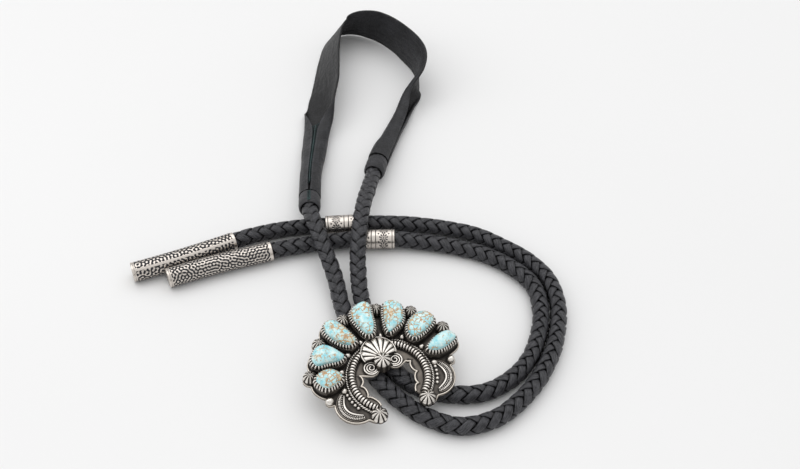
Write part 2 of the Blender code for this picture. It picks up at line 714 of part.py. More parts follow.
def strap_section(row_at, flat_tangent, tangent):
    """One ring round the band's section about its own middle, before it is placed."""
    roll = math.radians(max(FULL_ROLL * row_at["roll"], 1.0))
    rolled_width = ROLL_RADIUS * math.radians(FULL_ROLL)
    width = STRAP_WIDTH * row_at["width"]
    width += (rolled_width - width) * row_at["grip"]
    radius = width / roll
    middle = radius * math.sin(roll / 2) / (roll / 2)
    lean = math.radians(row_at["lean"])
    outward = Vector((-flat_tangent.y, flat_tangent.x, 0.0))
    upward = outward.cross(-tangent).normalized()
    across = upward * math.cos(lean) + outward * math.sin(lean)
    opening = outward * math.cos(lean) - upward * math.sin(lean)
    ring = []
    for side in (1, -1):
        for step in range(STRAP_FACETS + 1):
            bend = roll * (step / STRAP_FACETS - 0.5) * side
            sheet = across * (radius * math.sin(bend))
            sheet += opening * ((middle - radius * math.cos(bend)) * row_at["round"])
            skin = across * (math.sin(bend) * row_at["round"]) - opening * math.cos(bend)
            ring.append(sheet + skin.normalized() * (side * STRAP_THICKNESS / 2))
    return ring


def strap_path(rows):
    """The band's middle line on the table, from the left collar's end to the right one's."""
    start = Vector((*LEFT_CORD_ROUTE[1][:2], 0.0))
    end = Vector((*RIGHT_CORD_ROUTE[1][:2], 0.0))
    path = []
    for number, row in enumerate(rows):
        base = start.lerp(end, number / (len(rows) - 1))
        path.append(base + Vector((LOOP_WIDTH * row["side"], LOOP_LENGTH * row["reach"], 0.0)))
    return path


def direction_at(points, index):
    after = points[min(index + 1, len(points) - 1)]
    return (after - points[max(index - 1, 0)]).normalized()


def strap_rings():
    """The band's rings of points, each resting on the table or lifted by its own share."""
    rows = [dict(zip(STRAP_COLUMNS, row)) for row in STRAP_SECTIONS]
    path = strap_path(rows)
    lengths = np.cumsum([0.0] + [(end - start).length for start, end in zip(path, path[1:])])
    points = smooth_route(path, STRAP_SPACING)
    places = np.linspace(0.0, lengths[-1], len(points))
    columns = {name: np.interp(places, lengths, [row[name] for row in rows]) for name in STRAP_COLUMNS[2:]}
    rows_at = [{name: columns[name][index] for name in columns} for index in range(len(points))]
    flat = [direction_at(points, index) for index in range(len(points))]
    raised = []
    for point, row_at, along in zip(points, rows_at, flat):
        low = min(offset.z for offset in strap_section(row_at, along, along))
        raised.append(point + Vector((0.0, 0.0, row_at["lift"] * CORD_DIAMETER - low)))
    rings = []
    for index, (point, row_at, along) in enumerate(zip(raised, rows_at, flat)):
        section = strap_section(row_at, along, direction_at(raised, index))
        rings.append([point + offset for offset in section])
    return rings


def neck_strap(collection):
    bm = bmesh.new()
    rings = [[bm.verts.new(point) for point in ring] for ring in strap_rings()]
    join_rings(bm, rings)
    bm.faces.new(rings[0])
    bm.faces.new(rings[-1])
    return add_bmesh_object("neck_strap", bm, leather("strap_leather"), collection)


def collar(name, points, distance, collection):
    """A short hem of leather where a cord leaves the strap's rolled end."""
    outer = ROLL_BORE + COLLAR_WALL
    edge = COLLAR_WALL * 0.3
    half = COLLAR_LENGTH / 2
    profile = (
        (CORD_BORE, -half),
        (outer - edge, -half),
        (outer, edge - half),
        (outer, half - edge),
        (outer - edge, half),
        (CORD_BORE, half),
    )
    hem = add_object(name, turned_mesh(name, profile, TURNED_SIDES), leather(name), collection)
    hem.matrix_world = seat_on_cord(points, distance, COLLAR_LENGTH)
    return hem


def cord(name, points, collection):
    curve = poly_tube(name, points, CORD_RADIUS, CORD_BEVEL_RESOLUTION)
    curve.materials.append(leather(name))
    cord_object = bpy.data.objects.new(name, curve)
    collection.objects.link(cord_object)
    return cord_object


def bead(name, points, distance, collection):
    """A silver barrel threaded on its cord."""
    wall = CORD_BORE + BEAD_WALL
    edge = BEAD_RIM * 2
    profile = (
        (CORD_BORE, -BEAD_LENGTH / 2),
        (wall + BEAD_RIM, -BEAD_LENGTH / 2),
        (wall + BEAD_RIM, -BEAD_LENGTH / 2 + edge),
        (wall, -BEAD_LENGTH / 2 + 2 * edge),
        (wall, BEAD_LENGTH / 2 - 2 * edge),
        (wall + BEAD_RIM, BEAD_LENGTH / 2 - edge),
        (wall + BEAD_RIM, BEAD_LENGTH / 2),
        (CORD_BORE, BEAD_LENGTH / 2),
    )
    barrel = add_object(name, turned_mesh(name, profile, TURNED_SIDES), silver(name), collection)
    barrel.matrix_world = seat_on_cord(points, distance, BEAD_LENGTH)
    return barrel


def tip_profile():
    """The tip's outer wall from its mouth to its closed end, and its bore back to the mouth."""
    wall = CORD_BORE + TIP_WALL
    stations = np.linspace(TIP_SOCKET, TIP_LENGTH - 2 * TIP_WALL, TIP_STATIONS)
    outside = [(wall + TIP_RIM, 0.0), (wall + TIP_RIM, TIP_WALL), (wall, 2 * TIP_WALL)]
    outside += [(wall, station) for station in stations]
    outside.append((wall - TIP_RIM, TIP_LENGTH))
    inside = [(CORD_BORE, station) for station in stations[::-1]]
    inside.append((CORD_BORE, 0.0))
    return outside, inside


def round_ring(bm, radius, height):
    angles = [2 * math.pi * step / TURNED_SIDES for step in range(TURNED_SIDES)]
    return [bm.verts.new((radius * math.cos(a), radius * math.sin(a), height)) for a in angles]


def tip(name, points, side, collection):
    """A closed silver tube that takes the cord's end and curves gently beyond it."""
    outside, inside = tip_profile()
    bm = bmesh.new()
    walls = [round_ring(bm, radius, height) for radius, height in outside]
    bores = [round_ring(bm, radius, height) for radius, height in inside]
    join_rings(bm, walls)
    join_rings(bm, bores)
    join_rings(bm, [bores[-1], walls[0]])
    bm.faces.new(walls[-1])
    bm.faces.new(bores[0])
    for vertex in bm.verts:
        beyond = max(vertex.co.z - TIP_SOCKET, 0.0)
        turn = beyond / TIP_BEND_RADIUS
        reach = TIP_BEND_RADIUS + side * vertex.co.x
        if beyond > 0:
            vertex.co.x = side * (reach * math.cos(turn) - TIP_BEND_RADIUS)
            vertex.co.z = TIP_SOCKET + reach * math.sin(turn)
    mouth, direction = place_on_route(points, TIP_SOCKET - CLEARANCE)
    tube = add_bmesh_object(name, bm, silver(name), collection)
    tube.matrix_world = axis_matrix(mouth, direction)
    return tube


def cord_side(side, route, bead_distance, collection):
    """One cord with its collar, bead and tip."""
    points = smooth_route(route, CORD_SPACING)
    cord("cord_" + side, points, collection)
    tip_turn = 1 if side == "left" else -1
    tip("tip_" + side, points, tip_turn, collection)
    bead("bead_" + side, points, bead_distance + TIP_SOCKET, collection)
    inside_strap = (Vector(route[1]) - Vector(route[0])).length
    from_start = inside_strap + COLLAR_GAP + COLLAR_LENGTH / 2
    collar("collar_" + side, points[::-1], from_start, collection)


def build():
    remove_scene_objects()
    parts = new_collection(OBJECT_NAME)
    solder_tools = new_collection("solder_shapes")
    cutters = new_collection("cutters")
    frame = ornament_frame(parts)
    ornament(parts, solder_tools, frame)
    slide_clasp(parts, cutters)
    neck_strap(parts)
    cord_side("left", LEFT_CORD_ROUTE, LEFT_BEAD_FROM_MOUTH, parts)
    cord_side("right", RIGHT_CORD_ROUTE, RIGHT_BEAD_FROM_MOUTH, parts)


build()
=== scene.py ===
"""The looks of the bolo tie: braided leather cords, a stitched neck strap, stamped silver tips and
beads, and an oxidised silver crescent with turquoise stones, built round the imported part.

Lengths are in metres and +Z is up, except where a name ends in _MM.
"""
import math

import bmesh
import bpy
import numpy as np
from mathutils import Matrix


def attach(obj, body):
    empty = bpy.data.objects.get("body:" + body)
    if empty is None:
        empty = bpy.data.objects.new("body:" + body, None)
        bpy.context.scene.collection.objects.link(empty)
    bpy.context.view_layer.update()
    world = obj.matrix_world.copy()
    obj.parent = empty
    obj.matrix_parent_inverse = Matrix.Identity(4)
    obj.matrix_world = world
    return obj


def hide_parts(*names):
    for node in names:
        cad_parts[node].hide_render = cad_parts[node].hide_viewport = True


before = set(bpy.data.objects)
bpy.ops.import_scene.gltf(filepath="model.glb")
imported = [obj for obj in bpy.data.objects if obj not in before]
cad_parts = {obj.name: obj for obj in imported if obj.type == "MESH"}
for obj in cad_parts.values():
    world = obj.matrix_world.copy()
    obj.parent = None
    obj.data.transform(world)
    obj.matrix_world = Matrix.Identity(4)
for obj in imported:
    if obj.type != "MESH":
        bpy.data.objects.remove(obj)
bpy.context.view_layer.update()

MM = 0.001
TAU = 2 * math.pi

# Sizes shared with the part's source
CORD_DIAMETER = 0.0065
CORD_RADIUS = CORD_DIAMETER / 2
CORD_SPACING = 0.0125
CLEARANCE = 0.0003
ORNAMENT_TURN = 23.5
ORNAMENT_TILT = 7.0
ORNAMENT_PLACE = (0.006739, -0.015498, 0.009168)
STRAP_THICKNESS = 0.0010
STRAP_WIDTH = 0.0200
ROLL_RADIUS = (CORD_RADIUS + CLEARANCE) / math.cos(math.pi / 12) + STRAP_THICKNESS / 2
FULL_ROLL = 354.0
LOOP_WIDTH = 0.0470
LOOP_LENGTH = 0.1250
STRAP_SPACING = 0.0014
CORD_BORE = (CORD_RADIUS + CLEARANCE) / math.cos(math.pi / 16)
COLLAR_LENGTH = 0.0095
COLLAR_GAP = 0.0006
COLLAR_RADIUS = 0.00465
HEM_MOUTH = 0.00342
BEAD_LENGTH = 0.0172
BEAD_RADIUS = CORD_BORE + 0.00040
TIP_LENGTH = 0.0424
TIP_SOCKET = 0.012
TIP_RADIUS = CORD_BORE + 0.00036
TIP_BEND_RADIUS = 0.30

# The braid: eight flat strands, each passing over two and under two
BRAID_LAY = 0.0199
STRAND_WIDTH = 0.0030
STRAND_THICKNESS = 0.0011
STRAND_RISE = 0.00058
BRAID_RADIUS = CORD_RADIUS + 0.0001
BRAID_STEP = 0.00065

LEFT_CORD_ROUTE = (
    (-0.0283, 0.0950, 0.0058), (-0.0277, 0.0795, 0.0077), (-0.0271, 0.0702, 0.0100),
    (-0.0256, 0.0646, 0.0115), (-0.0227, 0.0561, 0.0111), (-0.0187, 0.0453, 0.0088),
    (-0.0144, 0.0330, 0.0056), (-0.0111, 0.0190, 0.0045), (-0.0055, 0.0042, 0.00435),
    (0.0006, -0.0100, 0.0044), (0.0055, -0.0164, 0.0041), (0.0108, -0.0216, 0.0034),
    (0.0180, -0.0272, 0.00325), (0.0268, -0.0314, 0.00325), (0.0370, -0.0315, 0.00325),
    (0.0478, -0.0262, 0.00325), (0.0563, -0.0172, 0.00325), (0.0638, -0.0060, 0.00325),
    (0.0689, 0.0079, 0.00325), (0.0711, 0.0209, 0.00325), (0.0701, 0.0328, 0.00325),
    (0.0653, 0.0431, 0.00325), (0.0570, 0.0512, 0.00325), (0.0477, 0.0579, 0.00325),
    (0.0376, 0.0632, 0.00325), (0.0242, 0.0663, 0.0033), (0.0104, 0.0677, 0.0038),
    (-0.0050, 0.0673, 0.0043), (-0.0205, 0.0661, 0.0042), (-0.0333, 0.0656, 0.0033),
    (-0.0453, 0.0624, 0.0038), (-0.0567, 0.0575, 0.0042), (-0.0676, 0.0520, 0.0042),
)
RIGHT_CORD_ROUTE = (
    (0.0024, 0.1128, 0.0049), (0.0007, 0.1060, 0.0052), (-0.0012, 0.0950, 0.0066),
    (-0.0034, 0.0813, 0.0096), (-0.0049, 0.0688, 0.0121), (-0.0059, 0.0559, 0.0121),
    (-0.0063, 0.0425, 0.0084), (-0.0051, 0.0290, 0.0052), (-0.0021, 0.0150, 0.00435),
    (0.0007, 0.0069, 0.00435), (0.0067, -0.0070, 0.0044), (0.0107, -0.0114, 0.0041),
    (0.0157, -0.0148, 0.0034), (0.0220, -0.0172, 0.00325), (0.0300, -0.0187, 0.00325),
    (0.0384, -0.0183, 0.00325), (0.0466, -0.0147, 0.00325), (0.0542, -0.0080, 0.00325),
    (0.0599, 0.0014, 0.00325), (0.0631, 0.0118, 0.00325), (0.0643, 0.0220, 0.00325),
    (0.0632, 0.0318, 0.00325), (0.0587, 0.0396, 0.00325), (0.0523, 0.0452, 0.00325),
    (0.0435, 0.0508, 0.00325), (0.0322, 0.0547, 0.00325), (0.0212, 0.0568, 0.0036),
    (0.0090, 0.0581, 0.0043), (-0.0095, 0.0582, 0.0043), (-0.0220, 0.0563, 0.0038),
    (-0.0318, 0.0544, 0.0039), (-0.0414, 0.0516, 0.0042), (-0.0526, 0.0478, 0.0042),
)
LEFT_BEAD_FROM_MOUTH = 0.0466
RIGHT_BEAD_FROM_MOUTH = 0.0415

# The strap's sections, near those in the part's source, with softer corners at both seams
STRAP_COLUMNS = ("side", "reach", "lean", "roll", "round", "width", "grip", "lift")
STRAP_SECTIONS = (
    (0.000, 0.000, -90.0, 1.00, 1.00, 1.20, 1.00, 0.45),
    (-0.036, 0.125, -90.0, 1.00, 1.00, 1.20, 1.00, 0.15),
    (-0.054, 0.212, -88.0, 1.00, 0.80, 1.48, 0.00, 0.04),
    (-0.071, 0.285, -86.0, 0.995, 0.64, 1.58, 0.00, 0.00),
    (-0.087, 0.349, -80.0, 0.985, 0.48, 1.68, 0.00, 0.00),
    (-0.092, 0.410, -68.0, 0.84, 0.42, 1.80, 0.00, 0.00),
    (-0.082, 0.478, -50.0, 0.36, 0.70, 1.06, 0.00, 0.00),
    (-0.090, 0.558, -45.0, 0.10, 1.00, 1.02, 0.00, 0.00),
    (-0.112, 0.639, -40.0, 0.04, 1.00, 1.00, 0.00, 0.00),
    (-0.134, 0.719, -36.0, 0.02, 1.00, 1.00, 0.00, 0.00),
    (-0.142, 0.799, -34.0, 0.01, 1.00, 1.00, 0.00, 0.00),
    (-0.143, 0.849, -34.0, 0.01, 1.00, 1.00, 0.00, 0.00),
    (-0.130, 0.887, -35.0, 0.01, 1.00, 1.00, 0.00, 0.00),
    (-0.095, 0.910, -34.0, 0.01, 1.00, 1.00, 0.00, 0.00),
    (-0.039, 0.914, -30.0, 0.01, 1.00, 1.00, 0.00, 0.00),
    (0.093, 0.901, -16.0, 0.01, 1.00, 1.00, 0.00, 0.00),
    (0.231, 0.869, -6.0, 0.01, 1.00, 1.00, 0.00, 0.00),
    (0.363, 0.809, 1.0, 0.01, 1.00, 1.00, 0.00, 0.00),
    (0.474, 0.733, 6.0, 0.01, 1.00, 1.00, 0.00, 0.00),
    (0.560, 0.655, 8.0, 0.02, 1.00, 1.00, 0.00, 0.00),
    (0.592, 0.568, 11.0, 0.04, 1.00, 1.00, 0.00, 0.00),
    (0.532, 0.489, 13.0, 0.25, 0.80, 0.92, 0.00, 0.00),
    (0.415, 0.413, -15.0, 0.68, 0.64, 0.98, 0.00, 0.00),
    (0.350, 0.339, -26.0, 0.90, 0.75, 1.04, 0.00, 0.00),
    (0.284, 0.272, -24.0, 0.97, 0.92, 1.00, 0.00, 0.00),
    (0.206, 0.202, -20.0, 1.00, 1.00, 1.00, 0.00, 0.00),
    (0.134, 0.132, -16.0, 1.00, 1.00, 1.00, 0.30, 0.00),
    (0.062, 0.069, -12.0, 1.00, 1.00, 1.10, 1.00, 0.02),
    (0.000, 0.000, -10.0, 1.00, 1.00, 1.10, 1.00, 0.08),
)

# The ornament in its own plane, in millimetres from the crescent's centre
BAND_RADIUS_MM = 13.5
BAND_WIRE_MM = 1.25
BAND_END_ANGLE = 233.0
RIB_PITCH_MM = 1.18
GIRDLE_MM = 5.80
CROWN_MM = 1.45
TOOTH_PITCH_MM = 0.98
TOOTH_WIDTH_MM = 0.56
PLATE_THICKNESS_MM = 0.8
PANEL_RADIUS_MM = 7.2
PANEL_CENTRE_RING_MM = 15.9
PANEL_CENTRE_ANGLE = 200.5
SCALLOP_DEPTH_MM = 1.6
SHELL_CENTRE_MM = (-0.3, 9.8)
SHELL_FOCUS_MM = (-0.2, 7.2)
SHELL_RADIUS_MM = 6.1
SHELL_RIDGES = 9
SPIRALS_MM = ((4.3, 5.6), (-4.8, 5.4))
RIM_BUTTON_RING_MM = 28.1
SHOULDER_BALL_RING_MM = 23.2
SHOULDER_BALL_ANGLES = (184.0, -4.0)
OUTLINE_SPACING_MM = 0.10

# The scallops' cusps along the opening, as (angle, ring)
SCALLOP_CUSPS = ((-57.0, 12.0), (-34.5, 10.5), (-7.5, 10.3), (19.5, 10.3), (44.0, 10.2), (90.0, 10.2),
                 (124.0, 10.4), (156.0, 10.9), (179.0, 11.0), (204.5, 11.4), (233.0, 12.0))

# Each stone: angle and ring of its middle, then its outline as (outward, sideways) points
STONES_MM = (
    (167.6, 21.6, ((4.5, -0.3), (2.2, -2.8), (-1.2, -3.2), (-3.7, -1.7), (-4.6, 0.2), (-2.9, 2.1),
                   (1.1, 3.4), (3.4, 2.0))),
    (143.9, 23.2, ((4.5, 2.7), (4.3, -1.5), (2.4, -3.6), (-0.8, -3.6), (-4.4, -2.3), (-6.1, -1.3),
                   (-5.2, 0.5), (-1.7, 2.6), (2.1, 4.6))),
    (118.3, 23.7, ((5.2, 2.1), (6.4, -0.2), (5.2, -2.5), (2.0, -3.1), (-2.5, -2.7), (-6.6, -1.5),
                   (-6.4, 0.8), (-3.5, 2.7), (0.7, 3.3))),
    (91.0, 23.7, ((2.9, 3.8), (5.6, 0.9), (6.1, -2.4), (4.5, -3.9), (0.2, -3.1), (-4.5, -2.2),
                  (-7.1, -0.2), (-6.9, 1.6), (-3.4, 3.0))),
    (65.0, 23.2, ((1.9, 3.5), (4.8, 3.0), (5.9, 0.8), (5.2, -2.1), (1.5, -3.7), (-2.8, -3.4),
                  (-5.3, -1.2), (-7.1, 0.9), (-4.6, 2.4))),
    (38.5, 22.5, ((-3.3, 3.3), (0.2, 3.8), (3.5, 2.8), (5.4, 0.6), (5.2, -2.3), (3.5, -3.7),
                  (0.2, -3.5), (-3.7, -2.4), (-6.0, -0.8), (-5.5, 1.5))),
    (11.1, 22.4, ((-5.8, 0.3), (-2.6, 2.1), (1.1, 2.7), (4.0, 2.0), (5.2, -0.4), (4.9, -1.5),
                  (1.9, -2.3), (-2.2, -2.5), (-5.1, -1.1))),
)

# How much web and how much tan each stone shows
STONE_MARKS = ((1.05, 0.80), (0.55, 0.40), (0.95, 1.00), (0.95, 0.25), (0.90, 0.50), (1.10, 0.20),
               (0.55, 0.10))
RIM_BUTTON_ANGLES = (160.5, 132.0, 104.3, 77.5, 51.3, 23.8)
INNER_BALL_ANGLES = (179.0, 153.5, 128.5, 104.5, 78.5, 52.0, 24.5, -2.0)
LEFT_GRAINS = (-175.0, -169.5, -164.0, -158.5, -153.0)
RIGHT_GRAINS = (-7.0, -12.5, -18.0, -23.5, -29.0)


def unit(vectors):
    lengths = np.linalg.norm(vectors, axis=-1, keepdims=True)
    return vectors / np.maximum(lengths, 1e-12)


def smooth_line(points, spacing, closed=False):
    """Evenly spaced points on a smooth curve through the given ones, as in the part's source."""
    knots = np.array(points, float)
    if closed:
        padded = np.vstack([knots[-1], knots, knots[0], knots[1]])
    else:
        padded = np.vstack([knots[0] * 2 - knots[1], knots, knots[-1] * 2 - knots[-2]])
    share = np.linspace(0, 1, 24, endpoint=False)[:, None]
    fine = []
    for p0, p1, p2, p3 in zip(padded, padded[1:], padded[2:], padded[3:]):
        t1 = np.linalg.norm(p1 - p0) ** 0.5
        t2 = t1 + np.linalg.norm(p2 - p1) ** 0.5
        t3 = t2 + np.linalg.norm(p3 - p2) ** 0.5
        t = t1 + (t2 - t1) * share
        a1 = p0 * ((t1 - t) / t1) + p1 * (t / t1)
        a2 = p1 * ((t2 - t) / (t2 - t1)) + p2 * ((t - t1) / (t2 - t1))
        a3 = p2 * ((t3 - t) / (t3 - t2)) + p3 * ((t - t2) / (t3 - t2))
        b1 = a1 * ((t2 - t) / t2) + a2 * (t / t2)
        b2 = a2 * ((t3 - t) / (t3 - t1)) + a3 * ((t - t1) / (t3 - t1))
        fine.append(b1 * ((t2 - t) / (t2 - t1)) + b2 * ((t - t1) / (t2 - t1)))
    fine.append(knots[:1] if closed else knots[-1:])
    fine = np.vstack(fine)
    lengths = np.concatenate([[0.0], np.cumsum(np.linalg.norm(np.diff(fine, axis=0), axis=1))])
    count = max(2, round(lengths[-1] / spacing))
    wanted = np.linspace(0.0, lengths[-1], count + 1)
    even = np.stack([np.interp(wanted, lengths, column) for column in fine.T], axis=1)
    return even[:-1] if closed else even


def line_length(points):
    return float(np.linalg.norm(np.diff(points, axis=0), axis=1).sum())


def frames_along(points):
    """Tangents, normals and binormals that turn as little as they can along a line."""
    tangents = unit(np.gradient(points, axis=0))
    normals = [unit(np.cross((0.0, 0.0, 1.0), tangents[0]))]
    for tangent in tangents[1:]:
        previous = normals[-1]
        normals.append(unit(previous - tangent * previous.dot(tangent)))
    normals = np.array(normals)
    return tangents, normals, np.cross(tangents, normals)


def place_on_route(points, distance):
    """The place and direction at a distance back from the end of a route."""
    left = distance
    for end, start in zip(points[::-1], points[-2::-1]):
        step = np.linalg.norm(start - end)
        if left <= step:
            return end + (start - end) * (left / step), unit(end - start)
        left -= step
    return points[0], unit(points[1] - points[0])


def axis_matrix(place, direction):
    across = unit(np.cross((0.0, 0.0, 1.0), direction))
    matrix = Matrix.Identity(4)
    for column, values in enumerate((across, np.cross(direction, across), direction, place)):
        for row in range(3):
            matrix[row][column] = values[row]
    return np.array(matrix)


def seat_on_cord(points, distance, length):
    near = place_on_route(points, distance - length / 2)[0]
    far = place_on_route(points, distance + length / 2)[0]
    middle = (place_on_route(points, distance)[0] + (near + far) / 2) / 2
    return axis_matrix(middle, unit(near - far))


def moved(points, matrix):
    return points @ matrix[:3, :3].T + matrix[:3, 3]


class Shape:
    """Grids of points gathered into one mesh, each point with a share for its material."""

    def __init__(self):
        self.points = []
        self.faces = []
        self.shares = []
        self.count = 0

    def grid(self, points, close_rows=False, close_cols=True, caps=False, share=1.0):
        rows, cols = points.shape[:2]
        row_at = np.arange(rows if close_rows else rows - 1)
        col_at = np.arange(cols if close_cols else cols - 1)
        a, b = np.meshgrid(row_at, col_at, indexing="ij")
        a2 = (a + 1) % rows
        b2 = (b + 1) % cols
        quads = np.stack([a * cols + b, a * cols + b2, a2 * cols + b2, a2 * cols + b], axis=-1)
        self.faces += (quads.reshape(-1, 4) + self.count).tolist()
        if caps:
            first = np.arange(cols) + self.count
            self.faces.append(first[::-1].tolist())
            self.faces.append((first + (rows - 1) * cols).tolist())
        self.points.append(points.reshape(-1, 3))
        self.shares.append(np.broadcast_to(share, (rows, cols)).reshape(-1))
        self.count += rows * cols

    def tube(self, path, radius, sides=8, closed=False, share=1.0):
        """A round tube along a line, its radius one number or one for each point."""
        tangents, normals, binormals = frames_along(path)
        if closed:
            tangents = unit(np.roll(path, -1, axis=0) - np.roll(path, 1, axis=0))
            normals = unit(np.cross((0.0, 0.0, 1.0), tangents))
            binormals = np.cross(tangents, normals)
        angles = np.linspace(0, TAU, sides, endpoint=False)
        radii = np.broadcast_to(radius, len(path))[:, None, None]
        ring = (normals[:, None] * np.cos(angles)[None, :, None]
                + binormals[:, None] * np.sin(angles)[None, :, None])
        self.grid(path[:, None] + ring * radii, close_rows=closed, caps=not closed, share=share)

    def ball(self, centre, radius, sides=14):
        lifts = np.linspace(-math.pi / 2 + 0.15, math.pi / 2 - 0.15, 9)
        angles = np.linspace(0, TAU, sides, endpoint=False)
        rings = np.stack([np.outer(np.cos(lifts), np.cos(angles)), np.outer(np.cos(lifts), np.sin(angles)),
                          np.outer(np.sin(lifts), np.ones(sides))], axis=-1)
        self.grid(np.array(centre) + rings * radius, caps=True)

    def build(self, name, material, sharp=40, matrix=None):
        points = np.vstack(self.points)
        if matrix is not None:
            points = moved(points, matrix)
        mesh = bpy.data.meshes.new(name)
        mesh.from_pydata(points.tolist(), [], self.faces)
        shares = mesh.attributes.new("share", "FLOAT", "POINT")
        shares.data.foreach_set("value", np.concatenate(self.shares).astype(np.float32))
        bm = bmesh.new()
        bm.from_mesh(mesh)
        bmesh.ops.recalc_face_normals(bm, faces=bm.faces)
        bm.to_mesh(mesh)
        bm.free()
        mesh.materials.append(material)
        mesh.shade_smooth()
        mesh.set_sharp_from_angle(angle=math.radians(sharp))
        made = bpy.data.objects.new(name, mesh)
        bpy.context.scene.collection.objects.link(made)
        return made


# Materials

def new_material(name):
    material = bpy.data.materials.new(name)
    material.use_nodes = True
    return material, material.node_tree, material.node_tree.nodes["Principled BSDF"]


def point_value(tree, name):
    """The node that reads a value kept at each point of the mesh."""
    made = tree.nodes.new("ShaderNodeAttribute")
    made.attribute_name = name
    return made


def noise(tree, vector, scale, detail=3.0, roughness=0.5):
    made = tree.nodes.new("ShaderNodeTexNoise")
    made.inputs["Scale"].default_value = scale
    made.inputs["Detail"].default_value = detail
    made.inputs["Roughness"].default_value = roughness
    tree.links.new(vector, made.inputs["Vector"])
    return made.outputs["Fac"]


def ramp(tree, value, stops):
    """A colour ramp through (position, colour) stops."""
    made = tree.nodes.new("ShaderNodeValToRGB")
    elements = made.color_ramp.elements
    while len(elements) < len(stops):
        elements.new(0.5)
    for element, (position, colour) in zip(elements, stops):
        element.position = position
        element.color = (*colour, 1.0)
    tree.links.new(value, made.inputs["Fac"])
    return made.outputs["Color"]


def grey(value):
    return (value, value, value)


def maths(tree, operation, first, second):
    made = tree.nodes.new("ShaderNodeMath")
    made.operation = operation
    for socket, value in zip(made.inputs, (first, second)):
        if isinstance(value, (int, float)):
            socket.default_value = value
        else:
            tree.links.new(value, socket)
    return made.outputs["Value"]


def mix(tree, factor, first, second, blend="MIX"):
    made = tree.nodes.new("ShaderNodeMix")
    made.data_type = "RGBA"
    made.blend_type = blend
    colours = [socket for socket in made.inputs if socket.type == "RGBA"]
    for socket, value in zip((made.inputs["Factor"], *colours), (factor, first, second)):
        if isinstance(value, (int, float)):
            socket.default_value = value
        elif isinstance(value, tuple):
            socket.default_value = (*value, 1.0)
        else:
            tree.links.new(value, socket)
    return [socket for socket in made.outputs if socket.type == "RGBA"][0]


def bump(tree, shader, height, strength, distance):
    made = tree.nodes.new("ShaderNodeBump")
    made.inputs["Strength"].default_value = strength
    made.inputs["Distance"].default_value = distance
    tree.links.new(height, made.inputs["Height"])
    tree.links.new(made.outputs["Normal"], shader.inputs["Normal"])


def object_vector(tree, scale=(1.0, 1.0, 1.0)):
    coordinates = tree.nodes.new("ShaderNodeTexCoord")
    mapping = tree.nodes.new("ShaderNodeMapping")
    mapping.inputs["Scale"].default_value = scale
    tree.links.new(coordinates.outputs["Object"], mapping.inputs["Vector"])
    return mapping.outputs["Vector"]


def hollows(tree, reach):
    """How open each place is, from 0 in a deep crease to 1 in the open."""
    made = tree.nodes.new("ShaderNodeAmbientOcclusion")
    made.samples = 8
    made.inputs["Distance"].default_value = reach
    return made.outputs["AO"]


def leather(name, dark, light, roughness, grain_scale, grain):
    """Black leather with soft colour changes and pores, painted shade in its creases and where a point's share
    is low, and a painted highlight where the share is high, as on the raised seam edges.
    """
    material, tree, shader = new_material(name)
    vector = object_vector(tree)
    patches = noise(tree, vector, 160.0, 4.0, 0.6)
    fine = noise(tree, vector, grain_scale, 3.0, 0.6)
    place = point_value(tree, "share")
    tone = ramp(tree, patches, ((0.30, dark), (0.72, light)))
    # Painted shade: ambient occlusion times each point's share darkens creases and hollows; a share above 1
    # gives a painted highlight
    wear_and_painted_shading = ramp(tree, maths(tree, "MULTIPLY", place.outputs["Fac"], hollows(tree, 0.0012)),
                ((0.10, grey(0.07)), (0.50, grey(0.26)), (0.70, grey(0.48)), (1.0, grey(1.0))))
    tree.links.new(mix(tree, 1.0, tone, wear_and_painted_shading, "MULTIPLY"), shader.inputs["Base Color"])
    spread = ramp(tree, fine, ((0.3, grey(roughness - 0.10)), (0.7, grey(roughness + 0.10))))
    tree.links.new(spread, shader.inputs["Roughness"])
    bump(tree, shader, maths(tree, "ADD", fine, noise(tree, vector, grain_scale / 3, 2.0)), grain, 0.0004)
    shader.inputs["Specular IOR Level"].default_value = 0.36
    return material


def strand_leather():
    """Leather cut in strands: it reads each point's place along and across its own strand, and has painted
    shade in the gaps between strands.
    """
    material, tree, shader = new_material("braided_leather")
    place = point_value(tree, "lay")
    mapping = tree.nodes.new("ShaderNodeMapping")
    mapping.inputs["Scale"].default_value = (0.5, 3.0, 1.0)
    tree.links.new(place.outputs["Vector"], mapping.inputs["Vector"])
    streaks = noise(tree, mapping.outputs["Vector"], 1.6, 4.0, 0.6)
    pores = noise(tree, object_vector(tree), 1300.0, 3.0, 0.7)
    tone = ramp(tree, streaks, ((0.38, (0.009, 0.009, 0.011)), (0.64, (0.074, 0.074, 0.082))))
    # Painted shade: ambient occlusion darkens the base colour in the gaps between the strands
    crease = ramp(tree, hollows(tree, 0.0011), ((0.40, grey(0.03)), (0.70, grey(0.40)), (0.95, grey(1.0))))
    tree.links.new(mix(tree, 1.0, tone, crease, "MULTIPLY"), shader.inputs["Base Color"])
    rough = ramp(tree, pores, ((0.38, grey(0.26)), (0.62, grey(0.42))))
    tree.links.new(rough, shader.inputs["Roughness"])
    height = maths(tree, "ADD", maths(tree, "MULTIPLY", streaks, 0.5), maths(tree, "MULTIPLY", pores, 0.15))
    bump(tree, shader, height, 0.8, 0.0006)
    shader.inputs["Specular IOR Level"].default_value = 0.36
    return material


